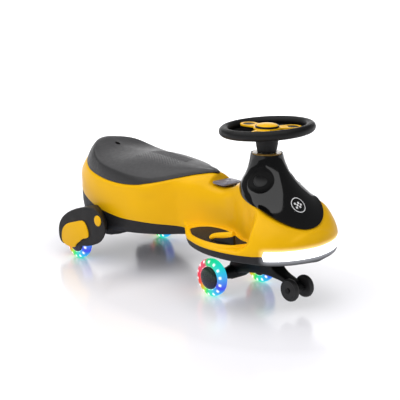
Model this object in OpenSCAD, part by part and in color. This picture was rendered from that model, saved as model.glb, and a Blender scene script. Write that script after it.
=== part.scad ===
// Wiggle car: a ride-on that is driven by swinging its steering wheel.
// +X is forward, +Y is the rider's left, +Z is up, and the floor is Z = 0.

/* [Wheels] */
// Diameter of the four running wheels
wheel_d = 90; // [80:1:100]
// Width of the four running wheels
wheel_w = 24; // [20:1:28]
// Diameter of the two anti-tip wheels
tip_wheel_d = 52; // [44:1:60]
// Width of each anti-tip wheel
tip_wheel_w = 14; // [10:1:16]
// Height of the anti-tip wheels above the floor
tip_lift = 26; // [15:1:35]
// Diameter of the running wheels' axles
axle_d = 8; // [6:0.5:9]
// Diameter of the anti-tip axle
tip_axle_d = 6; // [4:0.5:7]

/* [Layout] */
// Distance of the nose from the middle of the car
nose_x = 414; // [380:1:440]
// Place of the steering axis along the car
steer_x = 250; // [240:1:256]
// Distance of the front axle behind the steering axis
trail = 95; // [85:1:105]
// Distance of the anti-tip axle ahead of the steering axis
lead = 104; // [90:1:115]
// Distance between the middles of the front wheels
front_track = 157; // [145:1:170]
// Place of the rear axle along the car
rear_x = -291.5; // [-300:0.5:-280]
// Distance between the middles of the rear wheels
rear_track = 274; // [268:1:280]
// Distance between the middles of the anti-tip wheels
tip_track = 47; // [42:1:56]

/* [Steering column] */
// Diameter of the steel steering shaft
shaft_d = 22; // [18:0.5:24]
// Wall of the column housing
housing_wall = 6; // [4:0.5:8]
// Wall of the nylon bushes
bush_wall = 6.5; // [4:0.5:8]
// Diameter of the collar ring on top of the cowl
collar_d = 67; // [62:1:67]
// Height of the top of the collar ring
collar_z = 347; // [345:1:356]
// Thickness of the collar ring
collar_t = 4; // [2:0.5:6]
// Diameter of the stem where it meets the steering wheel
stem_top_d = 51; // [46:1:56]
// Diameter of the stem at its foot
stem_foot_d = 44; // [40:1:46]

/* [Steering wheel] */
// Outer diameter of the steering wheel
rim_d = 218; // [200:1:230]
// Thickness of the rim
rim_t = 22; // [18:0.5:26]
// Height of the middle of the rim
rim_z = 401.5; // [396:0.5:406]
// Lean of the wheel's plane, in degrees
rim_tilt = 4; // [0:0.5:8]
// Side that the wheel's plane leans up to, in degrees from the front
rim_tilt_turn = 30; // [0:5:90]
// Thickness of the spoke plate
spoke_t = 8; // [6:0.5:10]
// Diameter of the horn button
horn_d = 50; // [44:1:54]
// Travel of the horn button
horn_travel = 2.5; // [1.5:0.5:4]

/* [Shells] */
// Wall of the body shell and tub
shell_wall = 3; // [2.5:0.25:4]
// Wall of the seat
seat_wall = 4; // [3:0.25:5]
// Wall of the cowl
cowl_wall = 3; // [2:0.25:4]
// Thickness of the foot pads
foot_pad_t = 3; // [2:0.5:4]
// Height of the foot stops with their caps
foot_stop_h = 30; // [24:1:36]
// Width of the foot stops
foot_stop_w = 15; // [12:1:18]
// Height of the headlight strip
lamp_h = 21; // [18:1:22]
// Thickness of the headlight lens
lamp_t = 4; // [3:0.5:6]
// Length of the music pad
pad_l = 46; // [40:1:50]
// Width of the music pad
pad_w = 60; // [52:1:64]
// Thickness of the music pad
pad_t = 4; // [3:0.5:6]

/* [Fits] */
// Radial clearance of a running fit
run_fit = 0.06; // [0.02:0.01:0.09]
// Gap between pieces that are seated on each other
seat_gap = 0.3; // [0.2:0.05:0.4]

/* [Hidden] */
$fn = 64;

// Places along the body are drawn for this nose and follow the real one
drawn_nose = 414;
seat_tip = 90;
seat_tail = -402;
stretch = nose_x / drawn_nose;
column_x = steer_x * stretch;
axle_x = rear_x * stretch;
wheel_r = wheel_d / 2;
tip_r = tip_wheel_d / 2;
tip_z = tip_lift + tip_r;
front_x = column_x - trail;
tip_x = column_x + lead;
front_y = front_track / 2;
rear_y = rear_track / 2;
tip_y = tip_track / 2;
shaft_r = shaft_d / 2;
axle_r = axle_d / 2;
bush_r = shaft_r + run_fit + bush_wall;
housing_r = bush_r + seat_gap + housing_wall;
yellow = [0.96, 0.73, 0.08];
black = [0.11, 0.11, 0.12];
gloss_black = [0.06, 0.06, 0.065];
grey = [0.45, 0.44, 0.5];
dark = [0.2, 0.19, 0.18];
steel = [0.7, 0.7, 0.72];

// Smooth tables: rows of a place along X and the values there

function row_at(t, x, i = 0) = i >= len(t) - 2 || x < t[i + 1][0] ? i : row_at(t, x, i + 1);
function tangent(t, i) =
  let (a = max(0, i - 1), b = min(len(t) - 1, i + 1)) (t[b] - t[a]) / (t[b][0] - t[a][0]);
function curve(t, x) =
  let (
    i = row_at(t, x),
    h = t[i + 1][0] - t[i][0],
    s = (x - t[i][0]) / h
  )
  (2 * s ^ 3 - 3 * s ^ 2 + 1) * t[i] + (s ^ 3 - 2 * s ^ 2 + s) * h * tangent(t, i)
  + (3 * s ^ 2 - 2 * s ^ 3) * t[i + 1] + (s ^ 3 - s ^ 2) * h * tangent(t, i + 1);
// Rows drawn along the body, moved to the real length
function placed(t) = [for (r = t) len(r) > 2 ? [r[0] * stretch, r[1], r[2]] : [r[0] * stretch, r[1]]];
function spaced(t) = [for (x = t) x * stretch];
// Half widths are interpolated as squares, which rounds the ends of an outline
function squared(t) = [for (r = placed(t)) len(r) > 2 ? [r[0], r[1] ^ 2, r[2]] : [r[0], r[1] ^ 2]];
function half_width(t, x) = sqrt(max(1, curve(t, x)[1]));
// Smooth step between two drawn places
function ease(a, b, x) = let (s = max(0, min(1, (x / stretch - a) / (b - a)))) s * s * (3 - 2 * s);
function mix(a, b, k) = a + (b - a) * k;

// Lines of the car's surface

// Lower edge of the seat: place, half width, height
seat_edge = squared([
  [seat_tail, 0, 236], [-396, 20, 238], [-380, 38, 241], [-360, 56, 241], [-335, 76, 237],
  [-310, 91, 231], [-280, 103, 226], [-235, 113, 222], [-190, 118, 220], [-135, 118, 221],
  [-85, 114, 227], [-55, 104, 234], [-25, 90, 242], [-3, 72, 249], [20, 54, 257],
  [40, 37, 263], [64, 20, 268], [80, 9, 271], [seat_tip, 0, 272]
]);
// Rim of the seat's top
seat_rim = squared([
  [seat_tail, 0, 238], [-398, 6, 251], [-390, 9, 264], [-378, 14, 273], [-364, 22, 280],
  [-350, 32, 284], [-338, 43, 285], [-327, 53, 284], [-314, 65, 281], [-300, 77, 275],
  [-284, 87, 268], [-265, 96, 261],
  [-240, 104, 255], [-210, 108, 251], [-155, 110, 247], [-110, 108, 245], [-60, 99, 246],
  [-34, 86, 250], [0, 58, 260], [26, 38, 266], [54, 20, 271], [76, 8, 274], [seat_tip, 0, 273]
]);
// Middle of the seat's top
seat_crown = placed([
  [seat_tail, 238], [-398, 251], [-390, 266], [-378, 276], [-364, 283], [-350, 287],
  [-335, 288], [-315, 286], [-290, 282], [-265, 278], [-230, 275],
  [-195, 275], [-165, 277], [-130, 278], [-85, 277],
  [-45, 275], [-5, 275], [34, 275], [64, 275], [80, 274], [seat_tip, 273]
]);

// Edge of the body's top: the ledge under the seat, the saddle of the waist and the cowl's ledge
body_edge = squared([
  [-414, 0, 200], [-411, 8, 213], [-405, 15, 227], [-397, 21, 235], [-380, 37, 240],
  [-360, 55, 240], [-335, 75, 236], [-310, 90, 230], [-280, 102, 225], [-235, 112, 221],
  [-190, 117, 219], [-135, 117, 220], [-85, 113, 226], [-55, 103, 233], [-25, 89, 241],
  [-3, 71, 248], [20, 53, 255], [40, 36, 261], [64, 21, 266], [80, 15, 268], [89, 14, 265],
  [92, 15, 256], [95, 17, 249], [99, 19, 246], [115, 20, 245], [140, 22, 245], [155, 23, 247],
  [168, 24, 253], [178, 24, 263], [187, 24, 282], [196, 30, 285], [210, 45, 280], [237, 61, 271],
  [269, 75, 258], [299, 85, 246], [320, 87, 239], [344, 81, 227], [364, 66, 216],
  [374, 55, 210], [384, 38, 203], [391, 20, 198], [395, 10, 196], [402, 7, 193],
  [409, 5, 183], [414, 0, 172]
]);
// Shoulder between the top and the side wall
body_shoulder = squared([
  [-414, 0, 192], [-410, 14, 204], [-400, 32, 214], [-385, 49, 220], [-365, 66, 222],
  [-345, 80, 220], [-305, 100, 214], [-245, 117, 206], [-165, 122, 204], [-95, 118, 209],
  [-50, 107, 216], [-5, 78, 229], [20, 64, 238], [40, 55, 245], [64, 46, 250], [92, 39, 246],
  [115, 39, 240], [140, 39, 238], [165, 41, 241], [187, 46, 253], [210, 54, 262],
  [237, 64, 257], [269, 78, 244], [299, 87, 234], [414, 90, 220]
]);
// Widest line of the side wall
body_side = squared([
  [-414, 0], [-410, 16], [-400, 37], [-385, 55], [-365, 72], [-345, 85], [-325, 96],
  [-305, 104], [-275, 113], [-245, 119], [-205, 123], [-165, 124], [-125, 122], [-95, 119],
  [-65, 111], [-35, 98], [-5, 80], [15, 68], [35, 62], [65, 55], [95, 50], [125, 48],
  [155, 47], [180, 49], [205, 55], [225, 63], [245, 72], [262, 78], [278, 81], [310, 88],
  [414, 90]
]);
// Foot of the side wall, where the foot deck begins
deck_root = squared([
  [-414, 0, 160], [20, 68, 148], [35, 61, 146], [55, 59, 147], [85, 56, 153], [130, 52, 158],
  [170, 50, 160], [196, 53, 160], [214, 59, 160], [232, 67, 160], [250, 75, 160],
  [266, 80, 160], [280, 84, 160], [300, 90, 160], [414, 95, 160]
]);
// Outline of the lower edge of the body shell
outline = squared([
  [-414, 0], [-410, 16], [-400, 37], [-385, 55], [-365, 72], [-345, 84], [-325, 94],
  [-305, 102], [-275, 111], [-245, 116], [-205, 120], [-165, 121], [-125, 119], [-95, 116],
  [-65, 108], [-35, 95], [-5, 77], [15, 66], [30, 62], [42, 66], [57, 78], [82, 98],
  [108, 118], [139, 138], [170, 150], [200, 157], [225, 159], [251, 158], [283, 153],
  [310, 145], [332, 136], [350, 127], [364, 117], [377, 104], [390, 86], [400, 66],
  [408, 42], [412, 22], [414, 0]
]);
// Height of the parting line between body shell and tub
lamp_top_z = 162;
parting = placed([
  [-414, 166], [-385, 163], [-345, 158], [-315, 154], [-275, 147], [-245, 142], [-210, 138],
  [-180, 136], [-135, 134], [-85, 136], [-45, 136], [5, 136], [35, 136], [60, 138], [85, 141],
  [110, 143], [140, 145], [180, 146], [250, 147], [310, 148], [340, 149], [350, 150],
  [360, 151], [361.5, 151.5], [364, 161], [365, lamp_top_z], [375, lamp_top_z], [414, lamp_top_z]
]);
// Height of the outer part of the foot deck
deck_height = placed([
  [-414, 150], [60, 142], [85, 147], [110, 151], [140, 153], [180, 154], [414, 155]
]);

// Half sections of the body shell, from the middle of the top to the lower edge

function waist_half(x) =
  let (
    p = curve(parting, x)[1],
    d = half_width(outline, x),
    side = half_width(body_side, x),
    shoulder = [half_width(body_shoulder, x), curve(body_shoulder, x)[2]],
    k = ease(28, 60, x),
    root = mix([mix(d, side, 0.8), p + 17], [half_width(deck_root, x), curve(deck_root, x)[2]], k)
  )
  [
    shoulder,
    [side, mix(shoulder[1], root[1], 0.35)],
    [side + 0.4, mix(shoulder[1], root[1], 0.72)],
    root,
    mix([mix(d, side, 0.5), p + 10], root + [6, -2], k),
    mix([mix(d, side, 0.25), p + 5], [max(d - 8, root[0] + 7), curve(deck_height, x)[1]], k),
    [d, p + 2 + k]
  ];
function hood_half(x) =
  let (
    p = curve(parting, x)[1] + 3,
    d = half_width(outline, x),
    e = [half_width(body_edge, x), curve(body_edge, x)[2]]
  )
  [for (i = [1:7]) [mix(e[0], d, sin(i * 90 / 7)), p + max(1, e[1] - p) * cos(i * 90 / 7) ^ 1.2]];
function body_half(x) =
  let (
    e = [half_width(body_edge, x), curve(body_edge, x)[2]],
    k = ease(288, 322, x),
    w = waist_half(x),
    h = hood_half(x)
  )
  concat(
    [[0, e[1] + 0.5], e],
    [for (i = [0:6]) mix(w[i], h[i], k)],
    [[half_width(outline, x) - 0.3, curve(parting, x)[1]]]
  );
function seat_half(x) =
  let (
    c = curve(seat_crown, x)[1],
    r = [half_width(seat_rim, x), curve(seat_rim, x)[2]],
    e = [half_width(seat_edge, x), curve(seat_edge, x)[2] + seat_gap],
    dish = 2 * ease(-360, -320, x) * (1 - ease(-240, -180, x)),
    crown = ease(-200, -100, x)
  )
  [
    [0, c],
    [0.3 * r[0], mix(c, r[1], 0.05) - dish + 0.5 * crown],
    [0.6 * r[0], mix(c, r[1], 0.3) - dish * 0.8 + 2 * crown],
    [0.86 * r[0], mix(c, r[1], 0.68) + 2 * crown],
    r,
    mix(r, e, 0.3) + [1.5, 0],
    mix(r, e, 0.7) + [1, 0],
    e
  ];

// Belly of the tub under the rear pod and waist, and the flat floor under the nose
floor_z = 128.5;
belly = squared([
  [-414, 0, 156], [-404, 20, 148], [-385, 36, 130], [-355, 56, 105], [-320, 68, 84],
  [-280, 75, 64], [-240, 80, 61], [-210, 83, 69], [-180, 84, 84], [-130, 84, 92], [-80, 82, 99],
  [-30, 73, 106], [10, 58, 113], [40, 50, 118], [60, 58, 122], [82, 80, 126], [108, 104, floor_z],
  [139, 126, floor_z], [170, 138, floor_z], [200, 145, floor_z], [225, 147, floor_z],
  [251, 146, floor_z], [283, 141, floor_z], [310, 133, floor_z], [332, 124, floor_z],
  [350, 115, floor_z], [364, 105, floor_z], [377, 92, floor_z], [390, 74, floor_z],
  [400, 53, floor_z], [408, 26, floor_z], [414, 0, floor_z]
]);
lamp_foot_z = lamp_top_z - lamp_h - 2 * seat_gap;
function tub_top(x) = mix(curve(parting, x)[1] - seat_gap, lamp_foot_z, ease(360.8, 364.5, x));
// Half sections of the tub, from its top edge to the middle of its belly
function tub_half(x) =
  let (
    d = half_width(outline, x) - 0.6,
    b = [half_width(belly, x), curve(belly, x)[2]],
    t = [d, tub_top(x)],
    c = [mix(b[0], d, 0.72), mix(b[1], t[1], 0.16)]
  )
  [t, [d - 0.6, mix(t[1], c[1], 0.45)], [mix(c[0], d, 0.6), mix(t[1], c[1], 0.8)], c, b, [0, b[1]]];

// Skins: sections along X with a wall, closed at both ends

function mirrored_section(x, h) = concat(
  [for (i = [len(h) - 1:-1:0]) [x, -h[i][0], h[i][1]]],
  [for (i = [1:len(h) - 1]) [x, h[i][0], h[i][1]]]
);
function unit(v) = v / norm(v);
function inset(s, t) = [
  for (i = [0:len(s) - 1])
    let (
      a = s[max(0, i - 1)],
      b = s[min(len(s) - 1, i + 1)],
      n = unit([0, b[2] - a[2], a[1] - b[1]]),
      end = i == 0 || i == len(s) - 1
    )
    [s[i][0], s[i][1] + t * n[1], end ? s[i][2] : s[i][2] + t * n[2]]
];
function strip(k, j, m, o, flip) =
  let (a = o + k * m + j, b = a + 1, c = a + m + 1, d = a + m)
  flip ? [[a, d, c], [a, c, b]] : [[a, b, c], [a, c, d]];
function quad(a, b, c, d) = [[a, b, c], [a, c, d]];
function ring_quad(k, i, u, o, flip) =
  let (a = o + k * u + i, b = o + k * u + (i + 1) % u)
  flip ? quad(a, a + u, b + u, b) : quad(a, b, b + u, a + u);
function flat(t) = [for (f = t) for (g = f) g];

module skin(outer, inner) {
  n = len(outer);
  m = len(outer[0]);
  o = n * m;
  e = (n - 1) * m;
  l = m - 1;
  half = ceil(m / 2) - 2;
  polyhedron(
    points = concat(flat(outer), flat(inner)),
    faces = concat(
      flat([for (k = [0:n - 2]) for (j = [0:m - 2]) strip(k, j, m, 0, false)]),
      flat([for (k = [0:n - 2]) for (j = [0:m - 2]) strip(k, j, m, o, true)]),
      flat([for (k = [0:n - 2]) quad(k * m, k * m + m, o + k * m + m, o + k * m)]),
      flat([for (k = [0:n - 2]) quad(k * m + m + l, k * m + l, o + k * m + l, o + k * m + m + l)]),
      flat([for (j = [0:half]) quad(l - j, l - j - 1, j + 1, j)]),
      flat([for (j = [0:half]) quad(o + j, o + j + 1, o + l - j - 1, o + l - j)]),
      quad(l, 0, o, o + l),
      flat([for (j = [0:half]) quad(e + j, e + j + 1, e + l - j - 1, e + l - j)]),
      flat([for (j = [0:half]) quad(o + e + l - j, o + e + l - j - 1, o + e + j + 1, o + e + j)]),
      quad(e, e + l, o + e + l, o + e)
    ),
    convexity = 8
  );
}
module block(outer) {
  n = len(outer);
  m = len(outer[0]);
  e = (n - 1) * m;
  l = m - 1;
  half = ceil(m / 2) - 2;
  polyhedron(
    points = flat(outer),
    faces = concat(
      flat([for (k = [0:n - 2]) for (j = [0:m - 2]) strip(k, j, m, 0, false)]),
      flat([for (k = [0:n - 2]) quad(k * m + l, k * m, k * m + m, k * m + m + l)]),
      flat([for (j = [0:half]) quad(l - j, l - j - 1, j + 1, j)]),
      flat([for (j = [0:half]) quad(e + j, e + j + 1, e + l - j - 1, e + l - j)])
    ),
    convexity = 8
  );
}
// Places of the inner sections, drawn in near both ends
end_reach = 50;
function shrink(x, s, da, db) =
  let (a = s[0], b = s[len(s) - 1])
  x + da * max(0, 1 - (x - a) / end_reach) ^ 2 - db * max(0, 1 - (b - x) / end_reach) ^ 2;

pod_stations = [
  -414, -412, -408, -402, -394, -382, -366, -346, -322, -292, -256, -216, -176, -136, -100,
  -70, -44, -20, 0, 18, 34
];
deck_stations = [
  48, 62, 78, 89, 92, 95, 99, 108, 120, 136, 154, 168, 178, 187, 196, 206, 220, 236, 252, 268, 280
];
hood_stations = [
  289, 297, 305, 314, 326, 340, 350, 361, 364.5, 368, 373, 383, 392, 399, 405, 409, 412, 414
];
body_stations = spaced(concat(pod_stations, deck_stations, hood_stations));
seat_stations = spaced([
  seat_tail, -401, -396, -388, -376, -362, -346, -326, -306, -284, -258, -228, -195, -160, -125, -90,
  -60, -34, -12, 8, 26, 42, 58, 72, 83, seat_tip
]);

// Small shapes that repeat

module along_y(x, y, z) { translate([x, y, z]) rotate([-90, 0, 0]) children(); }
module both_sides(left) { mirror([0, left ? 0 : 1, 0]) children(); }
module tube(r_out, r_in, h) {
  difference() {
    cylinder(r = r_out, h = h);
    translate([0, 0, -1]) cylinder(r = r_in, h = h + 2);
  }
}
module column_bore(r) { translate([column_x, 0, 90]) cylinder(r = r, h = 260); }

// Body of the car

module body_shell() {
  outer = [for (x = body_stations) mirrored_section(x, body_half(x))];
  inner = [
    for (x = body_stations)
      let (xi = shrink(x, body_stations, shell_wall + 1, shell_wall + 3))
      inset(mirrored_section(xi, body_half(xi)), shell_wall)
  ];
  color(yellow) resize([0, 0, 0]) difference() {
    skin(outer, inner);
    column_bore(housing_r + 2);
  }
}

screw_d = 5;
screw_places = placed([[185, 95], [185, -95], [300, 90], [300, -90], [120, 60], [120, -60]]);
module tub_section_set(wall) {
  outer = [for (x = body_stations) mirrored_tub(x, tub_half(x))];
  inner = [
    for (x = body_stations)
      let (xi = shrink(x, body_stations, wall + 1, wall + 3)) inset(mirrored_tub(xi, tub_half(xi)), wall)
  ];
  skin(outer, inner);
}
function mirrored_tub(x, h) = concat(
  [for (i = [0:len(h) - 1]) [x, h[i][0], h[i][1]]],
  [for (i = [len(h) - 2:-1:0]) [x, -h[i][0], h[i][1]]]
);
module chassis_tub() {
  color(black) resize([0, 0, 0]) difference() {
    tub_section_set(shell_wall);
    column_bore(bush_r + seat_gap);
    for (p = screw_places) translate([p[0], p[1], floor_z - 5])
      cylinder(d = screw_d + 2 * seat_gap, h = 20);
  }
}
// The room that the pod and tub fill, for pieces that lie against them
module pod_room(gap) {
  rows = [for (x = body_stations) if (x < 20 * stretch) x];
  block([
    for (x = rows)
      let (
        h = [for (p = tub_half(x)) p + [gap * min(1, p[0]), 0]],
        side = half_width(body_side, x) + gap,
        lid = [[side, 260], [side, curve(parting, x)[1] + 14]]
      )
      mirrored_tub(x, concat(lid, [for (p = h) p - [0, gap]]))
  ]);
}

seat_hole_x = -303 * stretch;
seat_hole_d = 16;
module seat() {
  outer = [for (x = seat_stations) mirrored_section(x, seat_half(x))];
  inner = [
    for (x = seat_stations)
      let (xi = shrink(x, seat_stations, seat_wall + 2, 3 * seat_wall))
      inset(mirrored_section(xi, seat_half(xi)), seat_wall)
  ];
  color(black) resize([0, 0, 0]) difference() {
    skin(outer, inner);
    translate([seat_hole_x, 0, 255]) scale([0.7, 1, 1]) cylinder(d = seat_hole_d, h = 50);
  }
}

// Cowl: rings from the collar down to the ledge on the nose.
// Each row: rear place and height, side place, half width and height, front place and height
cowl_rings = [
  [-37, 346, 0, 37, 346, 37, 346], [-37, 335, 0, 38, 334, 39, 336], [-39, 319, 1, 42, 316, 46, 321],
  [-44, 306, 5, 52, 299, 59, 301], [-48, 298, 13, 64, 283, 76, 278], [-51, 294, 26, 75, 269, 92, 256],
  [-53, 292, 40, 82, 257, 110, 235], [-55, 291, 52, 86, 250, 127, 217], [-56, 290, 62, 88, 246, 144, 200]
];
cowl_turn = 36;
cap_d = 32;
cap_t = 10;
cap_place = [31, 49, 295];
cap_turn = [0, 50, 58];
module on_cowl() {
  translate([column_x + cap_place[0] * mix(1, stretch, 0.5), cap_place[1], cap_place[2]])
    rotate(cap_turn) children();
}
// The top ring stays round the column, and the lower ones follow the nose
function cowl_point(k, a, t) =
  let (
    r = cowl_rings[k],
    c = cos(a),
    grow = mix(1, stretch, k / (len(cowl_rings) - 1)),
    reach = c > 0 ? r[5] - r[2] : r[2] - r[0],
    rise = c > 0 ? r[6] - r[4] : r[1] - r[4]
  )
  [column_x + r[2] * grow + c * (reach * grow - t), sin(a) * (r[3] - t), r[4] + abs(c) ^ 1.5 * rise];
module cowl() {
  u = cowl_turn;
  n = len(cowl_rings);
  outer = [for (k = [0:n - 1]) for (i = [0:u - 1]) cowl_point(k, i * 360 / u, 0)];
  inner = [for (k = [0:n - 1]) for (i = [0:u - 1]) cowl_point(k, i * 360 / u, cowl_wall)];
  o = n * u;
  b = o - u;
  color(gloss_black) resize([0, 0, 0]) difference() {
    polyhedron(
      points = concat(outer, inner),
      faces = flat(concat(
        [for (k = [0:n - 2]) for (i = [0:u - 1]) ring_quad(k, i, u, 0, false)],
        [for (k = [0:n - 2]) for (i = [0:u - 1]) ring_quad(k, i, u, o, true)],
        [for (i = [0:u - 1]) let (j = (i + 1) % u) quad(j, i, o + i, o + j)],
        [for (i = [0:u - 1]) let (j = (i + 1) % u) quad(b + i, b + j, o + b + j, o + b + i)]
      )),
      convexity = 6
    );
    for (left = [true, false]) both_sides(left) on_cowl()
      cylinder(d = cap_d + 2 * seat_gap, h = 4 * cap_t, center = true);
  }
}
module cowl_cap(left) {
  color(black) both_sides(left) on_cowl() cylinder(d = cap_d, h = cap_t, center = true);
}
module cowl_cap_left() { cowl_cap(true); }
module cowl_cap_right() { cowl_cap(false); }

// Steering column parts that stay with the body

housing_foot_z = floor_z + shell_wall + seat_gap;
housing_top_z = collar_z - collar_t;
bush_h = 24;
module column_housing() {
  color(black) translate([column_x, 0, housing_foot_z])
    tube(housing_r, bush_r + seat_gap / 2, housing_top_z - housing_foot_z);
}
module column_collar() {
  color(yellow) translate([column_x, 0, collar_z - collar_t + seat_gap])
    tube(collar_d / 2, stem_foot_d / 2 - 2, collar_t - seat_gap);
}
module upper_bush() {
  color("ivory") translate([column_x, 0, housing_top_z - bush_h]) tube(bush_r, shaft_r + run_fit, bush_h);
}
bush_flange_t = 4;
module lower_bush() {
  color("ivory") translate([column_x, 0, floor_z - bush_flange_t - seat_gap]) difference() {
    union() {
      cylinder(r = bush_r, h = bush_h + bush_flange_t);
      cylinder(r = bush_r + 8, h = bush_flange_t);
    }
    translate([0, 0, -1]) cylinder(r = shaft_r + run_fit, h = bush_h + bush_flange_t + 2);
  }
}

// Foot decks

// Foot pad: place, inner edge and outer edge from the middle of the car
foot_pad_rows = placed([
  [97, 84, 94], [102, 75, 101], [112, 67, 109], [128, 61, 121], [150, 59, 134], [180, 59, 142],
  [210, 66, 145], [235, 76, 143], [252, 83, 139], [266, 87, 132], [275, 88, 125], [281, 89, 115],
  [286, 91, 104]
]);
function deck_z(x, w) =
  let (h = body_half(x), a = h[6], b = h[7]) mix(a[1], b[1], (w - a[0]) / (b[0] - a[0]));
module foot_pad(left) {
  rows = [
    for (r = foot_pad_rows)
      let (a = deck_z(r[0], r[1]) + 2 * seat_gap, b = deck_z(r[0], r[2]) + 2 * seat_gap)
      [[r[0], r[1], a], [r[0], r[1], a + foot_pad_t], [r[0], r[2], b + foot_pad_t], [r[0], r[2], b]]
  ];
  color(dark) both_sides(left) block(rows);
}
module foot_pad_left() { foot_pad(true); }
module foot_pad_right() { foot_pad(false); }

stop_foot_z = 160.2;
// Middle line of the slanted cap of a foot stop
stop_cap_line = placed([[214, 132, 167], [225, 131, 171], [250, 127, 177], [269, 122, 182]]);
stop_ends = placed([[228, 130], [268, 122.5]]);
stop_cap_t = 13;
module foot_stop(left) {
  color(black) both_sides(left) resize([0, 0, 0]) difference() {
    hull() for (p = stop_ends) translate([p[0], p[1], stop_foot_z])
      cylinder(d = foot_stop_w - 3, h = foot_stop_h);
    foot_stop_bar(stop_cap_t / 2 + seat_gap, 40);
  }
}
module foot_stop_bar(r, rise) {
  spread = foot_stop_w / stop_cap_t;
  for (i = [0:len(stop_cap_line) - 2]) hull() for (p = [stop_cap_line[i], stop_cap_line[i + 1]])
    for (z = [0, rise]) translate(p + [0, 0, z]) scale([spread, spread, 1]) sphere(r = r, $fn = 20);
}
module foot_stop_cap(left) { color(yellow) both_sides(left) foot_stop_bar(stop_cap_t / 2, 0); }
module foot_stop_left() { foot_stop(true); }
module foot_stop_right() { foot_stop(false); }
module foot_stop_cap_left() { foot_stop_cap(true); }
module foot_stop_cap_right() { foot_stop_cap(false); }

// Music pad with its base and speaker

pad_x = 118.5 * stretch;
pad_z = 246.8;
pad_base_t = 4;
speaker_z = 221;
module rounded_plate(l, w, h, r) {
  linear_extrude(h) hull() for (x = [r - l / 2, l / 2 - r]) for (y = [r - w / 2, w / 2 - r])
    translate([x, y]) circle(r = r, $fn = 32);
}
module music_pad_base() {
  color(black) translate([pad_x, 0, pad_z]) rounded_plate(pad_l - 12, pad_w - 16, pad_base_t, 8);
}
module music_pad() {
  color(grey) translate([pad_x, 0, pad_z + pad_base_t + seat_gap]) rounded_plate(pad_l, pad_w, pad_t, 10);
}
module speaker() {
  color(dark) translate([pad_x, 0, 0]) {
    translate([0, 0, speaker_z]) cylinder(d = 22, h = 11);
    translate([0, 0, speaker_z + 10]) cylinder(d = 40, h = 10);
  }
}

// Headlight strip round the lip of the nose

lamp_stations = spaced([362, 365, 368, 372, 378, 386, 393, 399, 404, 408, 411, 413, 414]);
lamp_points = concat(
  [for (x = lamp_stations) [x, -half_width(outline, x)]],
  [for (i = [len(lamp_stations) - 1:-1:0]) [lamp_stations[i], half_width(outline, lamp_stations[i])]]
);
function lamp_normal(i) =
  let (a = lamp_points[i - 1], b = lamp_points[i + 1])
  i < 2 ? [0, -1] : i > len(lamp_points) - 3 ? [0, 1] : unit([b[1] - a[1], a[0] - b[0]]);
// The strip runs to a point at both ends
function lamp_share(x) = min(1, (x / stretch - 361.2) / 3.5);
module lamp_strip(out, t, h, skip) {
  mid = lamp_foot_z + seat_gap + lamp_h / 2;
  rows = [
    for (i = [skip:len(lamp_points) - 1 - skip])
      let (
        p = lamp_points[i] + out * lamp_normal(i),
        q = p - t * lamp_normal(i),
        rise = h / 2 * lamp_share(lamp_points[i][0])
      )
      [concat(q, mid - rise), concat(q, mid + rise), concat(p, mid + rise), concat(p, mid - rise)]
  ];
  n = len(rows);
  polyhedron(
    points = flat(rows),
    faces = flat(concat(
      [for (k = [0:n - 2]) for (j = [0:3]) ring_quad(k, j, 4, 0, true)],
      [quad(0, 1, 2, 3), quad(4 * n - 1, 4 * n - 2, 4 * n - 3, 4 * n - 4)]
    )),
    convexity = 4
  );
}
module headlight_lens() { color("white") lamp_strip(0, lamp_t, lamp_h, 0); }
module headlight_board() { color("seagreen") lamp_strip(-lamp_t - 0.5, 2, lamp_h - 6, 1); }

// Battery box in the tub

box_x = -165 * stretch;
box_l = 90;
box_w = 70;
box_h = 28;
box_z = 96.8;
box_wall = 2.5;
cell_d = 14.5;
cell_l = 50;
module battery_box() {
  color(dark) translate([box_x, 0, box_z]) difference() {
    translate([-box_l / 2, -box_w / 2, 0]) cube([box_l, box_w, box_h]);
    translate([-box_l / 2 + box_wall, -box_w / 2 + box_wall, box_wall])
      cube([box_l - 2 * box_wall, box_w - 2 * box_wall, box_h]);
  }
}
module battery_cells() {
  cell_z = box_z + box_wall + cell_d / 2 + seat_gap;
  color("steelblue") for (i = [-1:1])
    along_y(box_x + i * (cell_d + 2), -cell_l / 2, cell_z) cylinder(d = cell_d, h = cell_l);
}
module tub_screws() {
  color(steel) for (p = screw_places) translate([p[0], p[1], floor_z - 2.6]) {
    cylinder(d = 9, h = 2.4);
    cylinder(d = screw_d, h = 14);
  }
}

// Rear wheel fenders

fender_wall = 4;
fender_in_y = 99;
fender_out_y = rear_y + wheel_w / 2 + 7;
// Side outline of a fender from the rear axle on the floor: place and height
fender_outline = [
  [-63, 36], [-69, 52], [-67, 77], [-54, 98], [-32, 115], [-4, 129], [24, 139], [52, 146],
  [78, 149], [96, 148], [110, 143], [124, 133], [135, 120], [140, 108], [138, 97], [128, 79], [117, 68],
  [97, 57], [64, 45], [33, 38], [6, 31], [-38, 27], [-56, 30]
];
module fender_prism(y0, y1, grow) {
  along_y(axle_x, y0, 0) linear_extrude(y1 - y0) offset(delta = grow)
    polygon([for (p = fender_outline) [p[0], -p[1]]]);
}
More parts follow.
